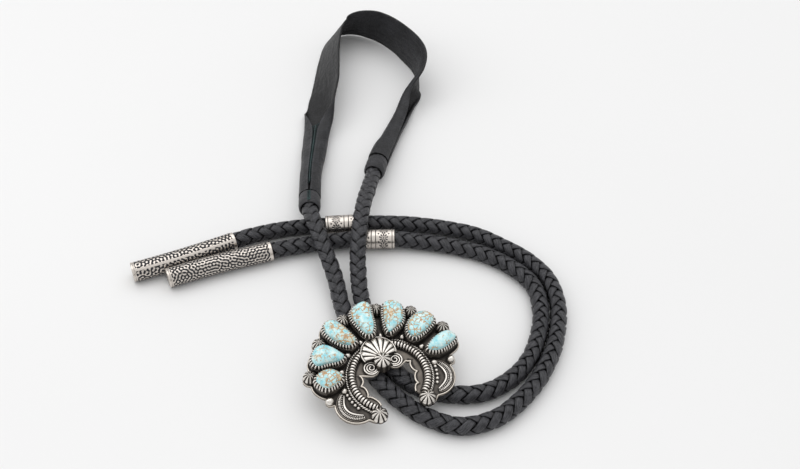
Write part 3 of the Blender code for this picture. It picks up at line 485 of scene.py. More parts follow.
def silver(name, bright=(0.78, 0.74, 0.69), dark=(0.020, 0.016, 0.013), reach=0.0011, stops=(0.38, 0.80)):
    """Oxidised silver: black in its recesses, bright where it is worn."""
    material, tree, shader = new_material(name)
    stamped = point_value(tree, "share")
    vector = object_vector(tree)
    blotches = noise(tree, vector, 420.0, 4.0, 0.6)
    scratches = noise(tree, object_vector(tree, (1.0, 3.0, 1.0)), 1800.0, 3.0, 0.6)
    open_share = maths(tree, "MULTIPLY", hollows(tree, reach), stamped.outputs["Fac"])
    uneven = maths(tree, "MULTIPLY", maths(tree, "SUBTRACT", blotches, 0.5), 0.30)
    wear_and_painted_shading = maths(tree, "ADD", open_share, uneven)
    middle = (stops[0] + stops[1]) / 2
    tone = ramp(tree, wear_and_painted_shading, ((stops[0], dark), (middle, (0.20, 0.175, 0.150)), (stops[1], bright)))
    tree.links.new(tone, shader.inputs["Base Color"])
    rough = ramp(tree, wear_and_painted_shading, ((stops[0], grey(0.60)), (stops[1], grey(0.24))))
    tree.links.new(rough, shader.inputs["Roughness"])
    metal = ramp(tree, wear_and_painted_shading, ((stops[0], grey(0.30)), (stops[1], grey(1.0))))
    tree.links.new(metal, shader.inputs["Metallic"])
    bump(tree, shader, scratches, 0.12, 0.0001)
    return material


def turquoise(number, web_share, tan_share):
    """Pale polished turquoise with a fine golden brown web and a few tan patches."""
    material, tree, shader = new_material("turquoise_%d" % number)
    coordinates = tree.nodes.new("ShaderNodeTexCoord")
    mapping = tree.nodes.new("ShaderNodeMapping")
    mapping.inputs["Location"].default_value = (0.013 * number, 0.007 * number, 0.0)
    tree.links.new(coordinates.outputs["Object"], mapping.inputs["Vector"])
    vector = mapping.outputs["Vector"]
    warp = tree.nodes.new("ShaderNodeTexNoise")
    warp.inputs["Scale"].default_value = 800.0
    warp.inputs["Detail"].default_value = 4.0
    tree.links.new(vector, warp.inputs["Vector"])
    shift = tree.nodes.new("ShaderNodeVectorMath")
    shift.operation = "MULTIPLY_ADD"
    shift.inputs[1].default_value = (0.0010, 0.0010, 0.0010)
    tree.links.new(warp.outputs["Color"], shift.inputs[0])
    tree.links.new(vector, shift.inputs[2])
    web = tree.nodes.new("ShaderNodeTexVoronoi")
    web.feature = "DISTANCE_TO_EDGE"
    web.inputs["Scale"].default_value = 640.0
    tree.links.new(shift.outputs["Vector"], web.inputs["Vector"])
    patches = noise(tree, vector, 300.0, 3.0, 0.6)
    spots = noise(tree, vector, 1000.0, 3.0, 0.6)
    cloud = noise(tree, vector, 520.0, 4.0, 0.65)
    width = ramp(tree, spots, ((0.36, grey(0.0)), (0.66, grey(0.17))))
    away = maths(tree, "SUBTRACT", web.outputs["Distance"], width)
    line = ramp(tree, away, ((0.0, grey(0.95)), (0.035, grey(0.0))))
    gate = ramp(tree, patches, ((0.66 - 0.26 * web_share, grey(0.0)), (0.76 - 0.26 * web_share, grey(1.0))))
    tan_gate = ramp(tree, patches, ((0.66 - 0.2 * tan_share, grey(0.0)), (0.74 - 0.2 * tan_share, grey(1.0))))
    tan = maths(tree, "MULTIPLY", tan_gate, ramp(tree, cloud, ((0.42, grey(0.0)), (0.58, grey(0.85)))))
    blue = ramp(tree, cloud, ((0.32, (0.25, 0.64, 0.73)), (0.48, (0.43, 0.76, 0.80)),
                              (0.64, (0.72, 0.86, 0.83))))
    gold = ramp(tree, spots, ((0.35, (0.29, 0.13, 0.04)), (0.65, (0.58, 0.35, 0.15))))
    patched = mix(tree, tan, blue, (0.62, 0.48, 0.28))
    tree.links.new(mix(tree, maths(tree, "MULTIPLY", line, gate), patched, gold), shader.inputs["Base Color"])
    shader.inputs["Roughness"].default_value = 0.24
    shader.inputs["Coat Weight"].default_value = 0.35
    shader.inputs["Coat Roughness"].default_value = 0.10
    return material


def plain_floor():
    material, tree, shader = new_material("table_white")
    vector = object_vector(tree)
    tone = ramp(tree, noise(tree, vector, 3.0, 2.0), ((0.3, grey(0.80)), (0.7, grey(0.82))))
    tree.links.new(tone, shader.inputs["Base Color"])
    shader.inputs["Roughness"].default_value = 0.55
    return material


# Cords

def braid(name, route, first_turn, turn, seed, material):
    """Eight flat strands plaited round the cord's route, four each way."""
    centres = smooth_line(smooth_line(route, CORD_SPACING), BRAID_STEP)
    tangents, normals, binormals = frames_along(centres)
    length = line_length(centres)
    stations = np.linspace(0.0, length, len(centres))
    twist = np.interp(stations, (0.07, 0.16), (first_turn, turn))[:, None]
    random = np.random.default_rng(seed)
    across = np.array((-0.50, -0.475, -0.41, -0.14, 0.14, 0.41, 0.475, 0.50, 0.36, -0.36))
    drop = np.array((0.55, 0.20, 0.04, 0.0, 0.0, 0.04, 0.20, 0.55, 1.0, 1.0)) * STRAND_THICKNESS
    middle = BRAID_RADIUS - STRAND_RISE
    slant = math.atan(TAU * (middle - STRAND_THICKNESS / 2) / BRAID_LAY)
    knots = np.arange(0.0, length + 0.004, 0.004)
    shape = Shape()
    lays = []
    for strand in range(8):
        way = 1 if strand < 4 else -1
        start = (strand % 4) * math.pi / 2 + (math.pi / 4 if way < 0 else 0.0)
        centre_turn = start + way * TAU * stations / BRAID_LAY
        height = np.tanh(2.6 * way * np.cos(2 * centre_turn)) * STRAND_RISE
        height += np.interp(stations, knots, random.normal(0.0, 0.00005, len(knots)))
        width = STRAND_WIDTH * (1 + np.interp(stations, knots, random.normal(0.0, 0.025, len(knots))))
        slip = np.interp(stations, knots, random.normal(0.0, 0.00008, len(knots)))
        tip_over = np.interp(stations, knots, random.normal(0.0, 0.00006, len(knots)))
        side = across[None, :] * width[:, None] + slip[:, None]
        along = stations[:, None] - way * side * math.sin(slant)
        angle = centre_turn[:, None] + side * math.cos(slant) / middle + twist
        radius = (middle + height)[:, None] - drop[None, :] + tip_over[:, None] * across[None, :] * 2
        along = np.clip(along, 0.0, length)
        parts = [np.stack([np.interp(along, stations, column) for column in values.T], axis=-1)
                 for values in (centres, normals, binormals)]
        points = parts[0] + radius[..., None] * (np.cos(angle)[..., None] * parts[1]
                                                 + np.sin(angle)[..., None] * parts[2])
        points[..., 2] = np.maximum(points[..., 2], 0.00005)
        shape.grid(points, caps=True)
        place = np.stack([np.broadcast_to(stations[:, None] * 1000 + 40.0 * strand, along.shape),
                          side * 1000, np.full(along.shape, 7.0 * strand)], axis=-1)
        lays.append(place.reshape(-1, 3))
    made = shape.build(name, material, sharp=45)
    lay = made.data.attributes.new("lay", "FLOAT_VECTOR", "POINT")
    lay.data.foreach_set("vector", np.vstack(lays).astype(np.float32).ravel())
    return made, centres


# Neck strap

def strap_sections(shares):
    """Points on the strap's middle sheet and its outward skin directions, by place along and across."""
    rows = np.array(STRAP_SECTIONS)
    start = np.array((*LEFT_CORD_ROUTE[1][:2], 0.0))
    end = np.array((*RIGHT_CORD_ROUTE[1][:2], 0.0))
    base = start + (end - start) * np.linspace(0, 1, len(rows))[:, None]
    shift = np.stack([LOOP_WIDTH * rows[:, 0], LOOP_LENGTH * rows[:, 1], np.zeros(len(rows))], axis=1)
    path = base + shift
    lengths = np.concatenate([[0.0], np.cumsum(np.linalg.norm(np.diff(path, axis=0), axis=1))])
    points = smooth_line(path, STRAP_SPACING)
    places = np.linspace(0.0, lengths[-1], len(points))
    kernel = np.hanning(9)
    kernel /= kernel.sum()
    columns = {}
    for index, name in enumerate(STRAP_COLUMNS[2:], start=2):
        values = np.interp(places, lengths, rows[:, index])
        padded = np.pad(values, 4, mode="edge")
        columns[name] = np.convolve(padded, kernel, mode="valid")
    flat = unit(np.gradient(points, axis=0))
    sheets, skins = section_points(columns, flat, flat, shares)
    low = sheets[..., 2].min(axis=1) - STRAP_THICKNESS / 2
    raised = points + np.stack([np.zeros(len(points)), np.zeros(len(points)),
                                columns["lift"] * CORD_DIAMETER - low], axis=1)
    sheets, skins = section_points(columns, flat, unit(np.gradient(raised, axis=0)), shares)
    return raised[:, None] + sheets, skins, columns


def section_points(columns, flat, tangents, shares):
    roll = np.radians(np.maximum(FULL_ROLL * columns["roll"], 1.0))
    width = STRAP_WIDTH * columns["width"]
    width = width + (ROLL_RADIUS * math.radians(FULL_ROLL) - width) * columns["grip"]
    radius = width / roll
    middle = radius * np.sin(roll / 2) / (roll / 2)
    lean = np.radians(columns["lean"])[:, None]
    outward = np.stack([-flat[:, 1], flat[:, 0], np.zeros(len(flat))], axis=1)
    upward = unit(np.cross(outward, -tangents))
    across = (upward * np.cos(lean) + outward * np.sin(lean))[:, None]
    opening = (outward * np.cos(lean) - upward * np.sin(lean))[:, None]
    bend = roll[:, None] * np.asarray(shares)[None, :]
    roundness = columns["round"][:, None]
    sheets = across * (radius[:, None] * np.sin(bend))[..., None]
    sheets = sheets + opening * ((middle[:, None] - radius[:, None] * np.cos(bend)) * roundness)[..., None]
    skins = across * (np.sin(bend) * roundness)[..., None] - opening * np.cos(bend)[..., None]
    return sheets, unit(skins)


def neck_strap(material, thread):
    inner = np.linspace(-0.478, 0.478, 44)
    edge = np.array((-0.5, -0.4985, -0.4945, -0.488))
    shares = np.concatenate([edge, inner, -edge[::-1]])
    sheets, skins, columns = strap_sections(shares)
    rows, cols = sheets.shape[:2]
    reach = np.clip((np.abs(shares) - 0.485) / 0.015, 0.0, 1.0)
    half = STRAP_THICKNESS / 2 * np.sqrt(np.maximum(1.0 - reach ** 2, 0.0))
    random = np.random.default_rng(11)
    wrinkle = np.zeros((rows, cols))
    along = np.linspace(0.0, 1.0, rows)[:, None]
    for _ in range(22):
        waves = random.uniform(4.0, 46.0)
        tilt = random.uniform(-9.0, 9.0)
        phase = random.uniform(0.0, TAU)
        wrinkle += np.sin(TAU * (waves * along + tilt * shares[None, :]) + phase) / (6.0 + waves)
    wrinkle *= 0.00030
    closed = np.clip((columns["roll"] - 0.80) / 0.12, 0.0, 1.0)[:, None] * (along < 0.5)
    lips = np.exp(-((np.abs(shares[None, :]) - 0.483) / 0.007) ** 2) * closed
    crease = np.exp(-((along - 0.20) / 0.020) ** 2) * np.exp(-((shares[None, :] + 0.02) / 0.02) ** 2)
    outer = sheets + skins * (half[None, :] + wrinkle + 0.00034 * lips - 0.0003 * crease)[..., None]
    inside = sheets - skins * (half[None, :] - wrinkle)[..., None]
    ring = np.concatenate([outer, inside[:, -2:0:-1]], axis=1)
    ring[..., 2] = np.maximum(ring[..., 2], 0.00003)
    shape = Shape()
    # Share of the outer skin: a painted highlight on the raised seam lips and painted shade on the bare edges
    # of the open band; the inner skin is set darker
    outside = 0.68 + 0.45 * lips - 0.25 * (np.abs(shares[None, :]) > 0.492) * (1 - closed)
    shape.grid(ring, caps=True, share=np.concatenate([outside, np.full((rows, cols - 2), 0.34)], axis=1))
    strap = shape.build("neck_strap_leather", material, sharp=70)
    return strap, strap_stitches(sheets, skins, columns, thread)


def strap_stitches(sheets, skins, columns, thread):
    """Whip stitches that close the rolled left end of the strap."""
    shape = Shape()
    run = []
    for index in range(3, len(sheets) // 2):
        if columns["roll"][index] < 0.95:
            continue
        left_in = sheets[index, 3] + skins[index, 3] * 0.00098
        right_in = sheets[index + 1, -4] + skins[index + 1, -4] * 0.00098
        left_edge = sheets[index, 0] + skins[index, 0] * 0.00060
        right_edge = sheets[index + 1, -1] + skins[index + 1, -1] * 0.00060
        path = smooth_line((left_in, left_edge, right_edge, right_in), 0.00025)
        shape.tube(path, 0.00020, sides=6)
        run.append((left_edge + right_edge) / 2)
    shape.tube(np.array(run), 0.00030, sides=6)
    return shape.build("strap_stitches", thread, sharp=80)


# Collars, beads and tips

def turned(profile, sides, matrix, bend=None, relief=None, relief_depth=0.0):
    """Rings of points turned about Z from (radius, height) pairs, then set in place."""
    angles = np.linspace(0, TAU, sides, endpoint=False)
    radii = np.array([pair[0] for pair in profile])[:, None]
    heights = np.array([pair[1] for pair in profile])[:, None]
    cut = np.ones((len(profile), sides))
    if relief is not None:
        cut = relief(angles[None, :], heights)
    radii = radii - (1 - cut) * relief_depth
    points = np.stack([radii * np.cos(angles), radii * np.sin(angles),
                       np.broadcast_to(heights, radii.shape)], axis=-1)
    if bend is not None:
        points = bend(points)
    return moved(points, matrix), cut


def collar(side, points, distance, material):
    """A hem of leather drawn in on the cord at both ends, with a ragged cut edge at its mouth."""
    matrix = seat_on_cord(points, distance, COLLAR_LENGTH)
    half = COLLAR_LENGTH / 2
    lip = 0.00055
    profile = [(CORD_BORE, -half + 0.0012), (HEM_MOUTH, -half + 0.0004)]
    for lift in np.linspace(-math.pi / 2, 0.0, 7):
        profile.append((COLLAR_RADIUS - 0.00045 - lip + lip * math.cos(lift),
                        -half + lip + lip * math.sin(lift)))
    for share in np.linspace(0.10, 0.90, 14):
        swell = 0.00045 * (2 * share - 1) ** 4
        profile.append((COLLAR_RADIUS - swell, -half + COLLAR_LENGTH * share))
    for lift in np.linspace(0.0, math.pi / 2, 7):
        profile.append((COLLAR_RADIUS - 0.00030 - lip + lip * math.cos(lift),
                        half - lip + lip * math.sin(lift)))
    profile += [(HEM_MOUTH, half - 0.0004), (CORD_BORE, half - 0.0012)]

    def folds(angles, heights):
        wave = 0.5 + 0.5 * np.sin(3 * angles + 900 * heights) * np.sin(1300 * heights + 2.0)
        seam = np.exp(-((np.mod(angles - math.pi / 2 + math.pi, TAU) - math.pi) / 0.07) ** 2)
        line = np.exp(-((np.abs(heights) - half + 0.0014) / 0.00016) ** 2)
        cuts = 0.5 + 0.5 * np.sin(23 * angles) * np.sin(9 * angles)
        ragged = np.exp(-((heights - half + 0.0004) / 0.0005) ** 2) * cuts
        return 1 - 0.35 * wave - 0.9 * seam * (side == "left") - 0.55 * line - 0.7 * ragged

    shape = Shape()
    ring, cut = turned(profile, 96, matrix, relief=folds, relief_depth=0.00030)
    # The share follows the relief: painted shade darkens the folds, the seam, the stitch lines and the ragged
    # mouth
    shape.grid(ring, close_rows=True, share=0.40 + 0.45 * np.clip(cut, 0.0, 1.0))
    return shape.build("collar_" + side + "_hem", material, sharp=70)


def collar_thread(points, distance, thread):
    """The stitched seam down the middle of the left collar."""
    matrix = seat_on_cord(points, distance, COLLAR_LENGTH)
    shape = Shape()
    for place in np.arange(-0.0038, 0.0039, 0.0011):
        local = []
        for share in np.linspace(-1.0, 1.0, 9):
            angle = math.pi / 2 + 0.15 * share
            radius = COLLAR_RADIUS + 0.00002 - 0.00028 * (1 - abs(share)) ** 2
            local.append((radius * math.cos(angle), radius * math.sin(angle), place + 0.0004 * share))
        shape.tube(moved(np.array(local), matrix), 0.00014, sides=6)
    return shape.build("collar_stitches", thread, sharp=80)


def sunbursts(angles, heights):
    """Stamped half suns in two bands round a bead, with polished bands between and beside them."""
    cut = np.ones(np.broadcast(angles, heights).shape)
    for row, phase in ((-0.0042, 0.0), (0.0042, 0.5)):
        for number in range(7):
            centre = TAU * (number + phase) / 7
            across = (np.mod(angles - centre + math.pi, TAU) - math.pi) * BEAD_RADIUS
            along = heights - row
            away = np.hypot(across, along)
            ray = np.cos(9 * np.arctan2(along, across))
            rays = (away > 0.0006) & (away < 0.0018) & (ray > -0.1)
            between = np.hypot(np.abs(across) - math.pi * BEAD_RADIUS / 7, np.abs(along) - 0.0021) < 0.00032
            cut = np.where(rays | between | (away < 0.00030), 0.05, cut)
    for line in (0.0009, 0.0076):
        cut = np.where(np.abs(np.abs(heights) - line) < 0.00010, 0.30, cut)
    return cut


def bead(side, points, distance, material):
    matrix = seat_on_cord(points, distance, BEAD_LENGTH)
    half = BEAD_LENGTH / 2
    profile = [(CORD_BORE, -half), (BEAD_RADIUS - 0.0001, -half), (BEAD_RADIUS, -half + 0.00012)]
    profile += [(BEAD_RADIUS, height) for height in np.linspace(-half + 0.0003, half - 0.0003, 110)]
    profile += [(BEAD_RADIUS, half - 0.00012), (BEAD_RADIUS - 0.0001, half), (CORD_BORE, half)]
    shape = Shape()
    ring, cut = turned(profile, 150, matrix, relief=sunbursts, relief_depth=0.00012)
    shape.grid(ring, close_rows=True, share=0.25 + 0.75 * cut)
    return shape.build("bead_" + side + "_stamped", material, sharp=60)


def stamped_waves(seed, wave_length, plain_level, smooth_bands):
    """A field of fine wandering strokes round a tube, with polished bands left plain."""
    random = np.random.default_rng(seed)
    waves = []
    for _ in range(18):
        way = random.uniform(0.0, math.pi)
        around = round(TIP_RADIUS * TAU / wave_length * math.cos(way))
        along = TAU / wave_length * math.sin(way)
        waves.append((around, along, random.uniform(0.0, TAU)))

    def relief(angles, heights):
        field = sum(np.cos(around * angles + along * heights + phase) for around, along, phase in waves)
        cut = 0.5 + 0.5 * np.tanh(3.4 * field / math.sqrt(len(waves)) + plain_level)
        plain = (heights < 0.0012) | (heights > TIP_LENGTH - 0.0015)
        for centre, half_width in smooth_bands:
            gap = np.abs(np.mod(angles - centre + math.pi, TAU) - math.pi)
            plain = plain | (gap < half_width)
        return np.where(plain, 1.0, cut)

    return relief


def tip(side, points, relief, material):
    """A stamped tube with a plain rim at its mouth and a flat soldered disc at its end."""
    way = 1 if side == "left" else -1
    mouth, direction = place_on_route(points, TIP_SOCKET - CLEARANCE)
    matrix = axis_matrix(mouth, direction)
    narrow = 0.00025 if side == "left" else 0.0

    def radius_at(height):
        share = height / TIP_LENGTH
        return TIP_RADIUS - narrow * (1 - share) ** 2

    profile = [(CORD_BORE - 0.0001, 0.0010), (CORD_BORE - 0.0001, 0.0), (radius_at(0) - 0.00008, 0.0)]
    profile += [(radius_at(h), h) for h in np.linspace(0.0001, TIP_LENGTH - 0.0012, 240)]
    profile += [(TIP_RADIUS - 0.00012, TIP_LENGTH - 0.0011), (TIP_RADIUS - 0.00012, TIP_LENGTH - 0.0009),
                (TIP_RADIUS + 0.00004, TIP_LENGTH - 0.0008), (TIP_RADIUS + 0.00004, TIP_LENGTH - 0.0002),
                (TIP_RADIUS - 0.0001, TIP_LENGTH), (TIP_RADIUS - 0.0005, TIP_LENGTH),
                (TIP_RADIUS - 0.0006, TIP_LENGTH - 0.00012), (TIP_RADIUS * 0.5, TIP_LENGTH - 0.00010),
                (TIP_RADIUS * 0.05, TIP_LENGTH - 0.00010)]

    def bend(local):
        beyond = np.maximum(local[..., 2] - TIP_SOCKET, 0.0)
        turn = beyond / TIP_BEND_RADIUS
        reach = TIP_BEND_RADIUS + way * local[..., 0]
        out = local.copy()
        out[..., 0] = np.where(beyond > 0, way * (reach * np.cos(turn) - TIP_BEND_RADIUS), local[..., 0])
        out[..., 2] = np.where(beyond > 0, TIP_SOCKET + reach * np.sin(turn), local[..., 2])
        return out

    shape = Shape()
    ring, cut = turned(profile, 150, matrix, bend=bend, relief=relief, relief_depth=0.00010)
    shape.grid(ring, caps=True, share=0.2 + 0.8 * cut)
    return shape.build("tip_" + side + "_stamped", material, sharp=60)


# Ornament

def ornament_matrix():
    turn = Matrix.Rotation(math.radians(ORNAMENT_TURN), 4, "Z")
    tilt = Matrix.Rotation(math.radians(ORNAMENT_TILT), 4, "X")
    return np.array(Matrix.Translation(ORNAMENT_PLACE) @ turn @ tilt @ Matrix.Scale(MM, 4))


def polar(radius, degrees):
    angle = np.radians(degrees)
    return np.stack([radius * np.cos(angle), radius * np.sin(angle)], axis=-1)


def lifted(points, height):
    return np.concatenate([points, np.full((*points.shape[:-1], 1), 1.0) * height], axis=-1)


def stone_outline(row, spacing):
    angle, ring, shape = row
    outward = polar(1.0, angle)
    sideways = np.array((-outward[1], outward[0]))
    corners = [outward * (ring + out) + sideways * aside for out, aside in shape]
    line = smooth_line(corners, spacing, closed=True)
    area = np.cross(line, np.roll(line, -1, axis=0)).sum()
    return line if area > 0 else line[::-1]


def grown(outline, by):
    along = np.roll(outline, -2, axis=0) - np.roll(outline, 2, axis=0)
    outward = unit(np.stack([along[:, 1], -along[:, 0]], axis=1))
    return outline + outward * np.asarray(by)[..., None]


def stone(number, row, material, matrix):
    """A domed cabochon with upright sides and a slightly uneven polished top."""
    outline = stone_outline(row, 0.35)
    centre = outline.mean(axis=0)
    random = np.random.default_rng(number)
    lean = random.uniform(-0.030, 0.030, 2)
    shape = Shape()
    rings = [lifted(outline, 0.3), lifted(outline, GIRDLE_MM)]
    for share in np.cos(np.linspace(0.08, 0.985, 15) * math.pi / 2) ** 0.8:
        flat = centre + (outline - centre) * share
        ring = lifted(flat, GIRDLE_MM + CROWN_MM * (1 - share ** 2.6) ** 0.62)
        ring[:, 2] += (flat - centre) @ lean
        rings.append(ring)
    shape.grid(np.array(rings), caps=True)
    return shape.build("stone_%d_cabochon" % number, material, sharp=50, matrix=matrix)


def bezels(material, matrix):
    """Dark walls round the stones, each crowned with bright teeth that lean over the stone."""
    shape = Shape()
    # Each ring of the wall: height, how far outside the stone, and share
    wall = ((-0.4, 0.92, 0.30), (2.7, 0.90, 0.34), (2.8, 1.02, 0.60), (3.05, 1.04, 0.60), (3.2, 0.74, 0.05),
            (4.4, 0.52, 0.05), (4.7, 0.10, 0.05))
    side = np.array((-0.50, -0.50, -0.26, 0.26, 0.50, 0.50)) * TOOTH_WIDTH_MM
    rise = np.array((-0.22, 0.02, 0.16, 0.16, 0.02, -0.22))
    spine = np.array(((0.84, 3.00), (0.94, 3.35), (0.94, 3.85), (0.82, 4.30), (0.58, 4.64), (0.30, 4.80),
                      (0.06, 4.80)))
    lean = unit(np.gradient(spine, axis=0))
    taper = np.array((0.90, 1.0, 1.0, 1.0, 0.95, 0.85, 0.70))
    for row in STONES_MM:
        outline = stone_outline(row, OUTLINE_SPACING_MM)
        rings = [lifted(grown(outline, away), height) for height, away, _ in wall]
        shape.grid(np.array(rings), share=np.array([share for _, _, share in wall])[:, None])
        outward = grown(outline, 1.0) - outline
        teeth = round(len(outline) * OUTLINE_SPACING_MM / TOOTH_PITCH_MM)
        for number in range(teeth):
            at = int(number * len(outline) / teeth)
            out = outward[at]
            along = np.array((-out[1], out[0]))
            away = spine[:, :1] + rise[None, :] * lean[:, 1:]
            height = spine[:, 1:] - rise[None, :] * lean[:, :1]
            flat = outline[at] + away[..., None] * out + (side[None, :] * taper[:, None])[..., None] * along
            shape.grid(np.concatenate([flat, height[..., None]], axis=-1), caps=True)
    return shape.build("ornament_bezels", material, sharp=50, matrix=matrix)


def outer_edge(degrees):
    """The plate's outer edge: a rim beyond whatever it carries in that direction."""
    reach = np.full(len(degrees), 18.6)
    clouds = [grown(stone_outline(row, OUTLINE_SPACING_MM), 1.75) for row in STONES_MM]
    circle = np.linspace(0, 360, 241)
    clouds += [polar(RIM_BUTTON_RING_MM, angle) + polar(2.6, circle) for angle in RIM_BUTTON_ANGLES]
    clouds += [polar(SHOULDER_BALL_RING_MM, angle) + polar(1.6, circle) for angle in SHOULDER_BALL_ANGLES]
    clouds += [polar(PANEL_CENTRE_RING_MM, angle) + polar(PANEL_RADIUS_MM + 0.4, circle)
               for angle in (PANEL_CENTRE_ANGLE, 180 - PANEL_CENTRE_ANGLE)]
    step = degrees[1] - degrees[0]
    for cloud in clouds:
        away = np.hypot(cloud[:, 0], cloud[:, 1])
        angles = np.degrees(np.arctan2(cloud[:, 1], cloud[:, 0]))
        for whole_turn in (0.0, 360.0):
            places = np.round((angles + whole_turn - degrees[0]) / step).astype(int)
            for spread in (-1, 0, 1):
                spot = places + spread
                kept = (spot >= 0) & (spot < len(degrees))
                np.maximum.at(reach, spot[kept], away[kept])
    kernel = np.hanning(9)
    return np.convolve(np.pad(reach, 4, mode="edge"), kernel / kernel.sum(), mode="valid")


def inner_edge(degrees):
    """Lobes along the arms, and a run under the spirals and the button at the top."""
    cusps = np.array(SCALLOP_CUSPS)
    after = np.clip(np.searchsorted(cusps[:, 0], degrees), 1, len(cusps) - 1)
    low, high = cusps[after - 1], cusps[after]
    share = np.clip((degrees - low[:, 0]) / (high[:, 0] - low[:, 0]), 0.0, 1.0)
    reach = low[:, 1] + (high[:, 1] - low[:, 1]) * share
    reach = reach - SCALLOP_DEPTH_MM * np.maximum(1 - (2 * share - 1) ** 2, 0.0) ** 0.5
    for centre, radius in ((SPIRALS_MM[0], 2.95), (SPIRALS_MM[1], 2.95), ((0.0, 7.0), 3.25)):
        ray = polar(1.0, degrees)
        along = ray @ np.array(centre)
        square = radius ** 2 - (np.dot(centre, centre) - along ** 2)
        near = along - np.sqrt(np.maximum(square, 0.0))
        reach = np.where((square > 0) & (along > 0), np.minimum(reach, near), reach)
    return reach


def plate(material, matrix):
    """The crescent sheet, with raised wires along its outer edge and its scallops."""
    degrees = np.linspace(180 - BAND_END_ANGLE, BAND_END_ANGLE, 1144)
    inner = inner_edge(degrees)
    outer = outer_edge(degrees)
    across = np.linspace(0.0, 1.0, 24)
    top = np.array([lifted(polar(inner + (outer - inner) * share, degrees), 0.0) for share in across])
    bottom = top[[-1, 0]].copy()
    bottom[..., 2] = -PLATE_THICKNESS_MM
    ring = np.concatenate([top, bottom], axis=0).transpose(1, 0, 2)
    tone = np.where(across < 0.06, 0.15, np.where(across < 0.35, 0.50, 0.36))
    tone = np.append(tone, (0.80, 0.80))
    shape = Shape()
    shape.grid(ring, caps=True, share=tone[None, :])
    rim = smooth_line(lifted(polar(outer - 0.30, degrees), 0.10)[::3], 0.30)
    shape.tube(rim, 0.30, sides=8)
    scallops = lifted(polar(inner + 0.20, degrees), 0.14)[::2]
    shape.tube(scallops, 0.38, sides=8)
    return shape.build("ornament_plate", material, sharp=50, matrix=matrix)


def arc(centre, radius, first, last, count, height):
    return lifted(np.array(centre) + polar(radius, np.linspace(first, last, count)), height)


def band(material, matrix):
    """The half round crescent band, cut into close ribs."""
    count = 61 * 11
    line = arc((0, 0), BAND_RADIUS_MM, 180 - BAND_END_ANGLE + 4, BAND_END_ANGLE - 4, count, 1.0)
    places = np.linspace(0.0, line_length(line), count)
    rib = np.clip((np.abs(np.sin(math.pi * places / RIB_PITCH_MM)) - 0.30) / 0.50, 0.0, 1.0) ** 0.8
    shape = Shape()
    shape.tube(line, BAND_WIRE_MM * (0.70 + 0.34 * rib), sides=16, share=(0.05 + 0.95 * rib)[:, None])
    return shape.build("ornament_band", material, sharp=60, matrix=matrix)


def twisted_wires(material, matrix):
    """Two wires twisted together along the outer side of the band, and a plain one inside it."""
    shape = Shape()
    first, last = 180 - BAND_END_ANGLE + 5, BAND_END_ANGLE - 5
    turns = arc((0, 0), 15.35, first, last, 620, 0.40)
    places = np.linspace(0.0, line_length(turns), len(turns))
    outward = unit(turns * np.array((1.0, 1.0, 0.0)))
    for phase in (0.0, math.pi):
        angle = TAU * places / 1.9 + phase
        line = turns + outward * (0.30 * np.cos(angle))[:, None]
        line[:, 2] += 0.30 * np.sin(angle)
        shape.tube(line, 0.27, sides=6, share=(0.72 + 0.28 * np.sin(angle))[:, None])
    shape.tube(arc((0, 0), 12.05, first, last, 200, 0.05), 0.22, sides=6, share=0.35)
    return shape.build("ornament_twisted_wires", material, sharp=60, matrix=matrix)


def fluted_dome(shape, centre, radius, height, flutes, groove, foot=0.0, ridge=0.8, wear_and_painted_shading=1.0):
    """A dome whose rounded flutes run out from its top, with dark grooves between them."""
    centre = np.array(centre, float)
    angles = np.linspace(0, 360, flutes * 16, endpoint=False)
    lobe = np.abs(np.sin(np.radians(angles) * flutes / 2)) ** ridge
    rim = centre + polar(1.0, angles) * (radius * (1 - 0.06 * (1 - lobe)))[:, None]
    rings = [lifted(rim, -0.7), lifted(rim, foot + 0.02)]
    shares = [0.05 + 0.5 * lobe, 0.08 + 0.5 * lobe]
    for share in np.linspace(1.0, 0.03, 18):
        flat = centre + (rim - centre) * share
        away = np.minimum(np.linalg.norm(flat - centre, axis=1) / radius, 1.0)
        lift = height * np.sqrt(1 - 0.93 * away ** 2)
        lift = lift - groove * radius * min(share * 1.6, 1.0) * (1 - lobe)
        rings.append(np.concatenate([flat, foot + np.maximum(lift, 0.05)[:, None]], axis=1))
        shares.append(1 - 0.97 * np.clip((0.68 - lobe) / 0.30, 0.0, 1.0) * min(share * 2.2, 1.0))
    shape.grid(np.array(rings), caps=True, share=np.array(shares) * wear_and_painted_shading)


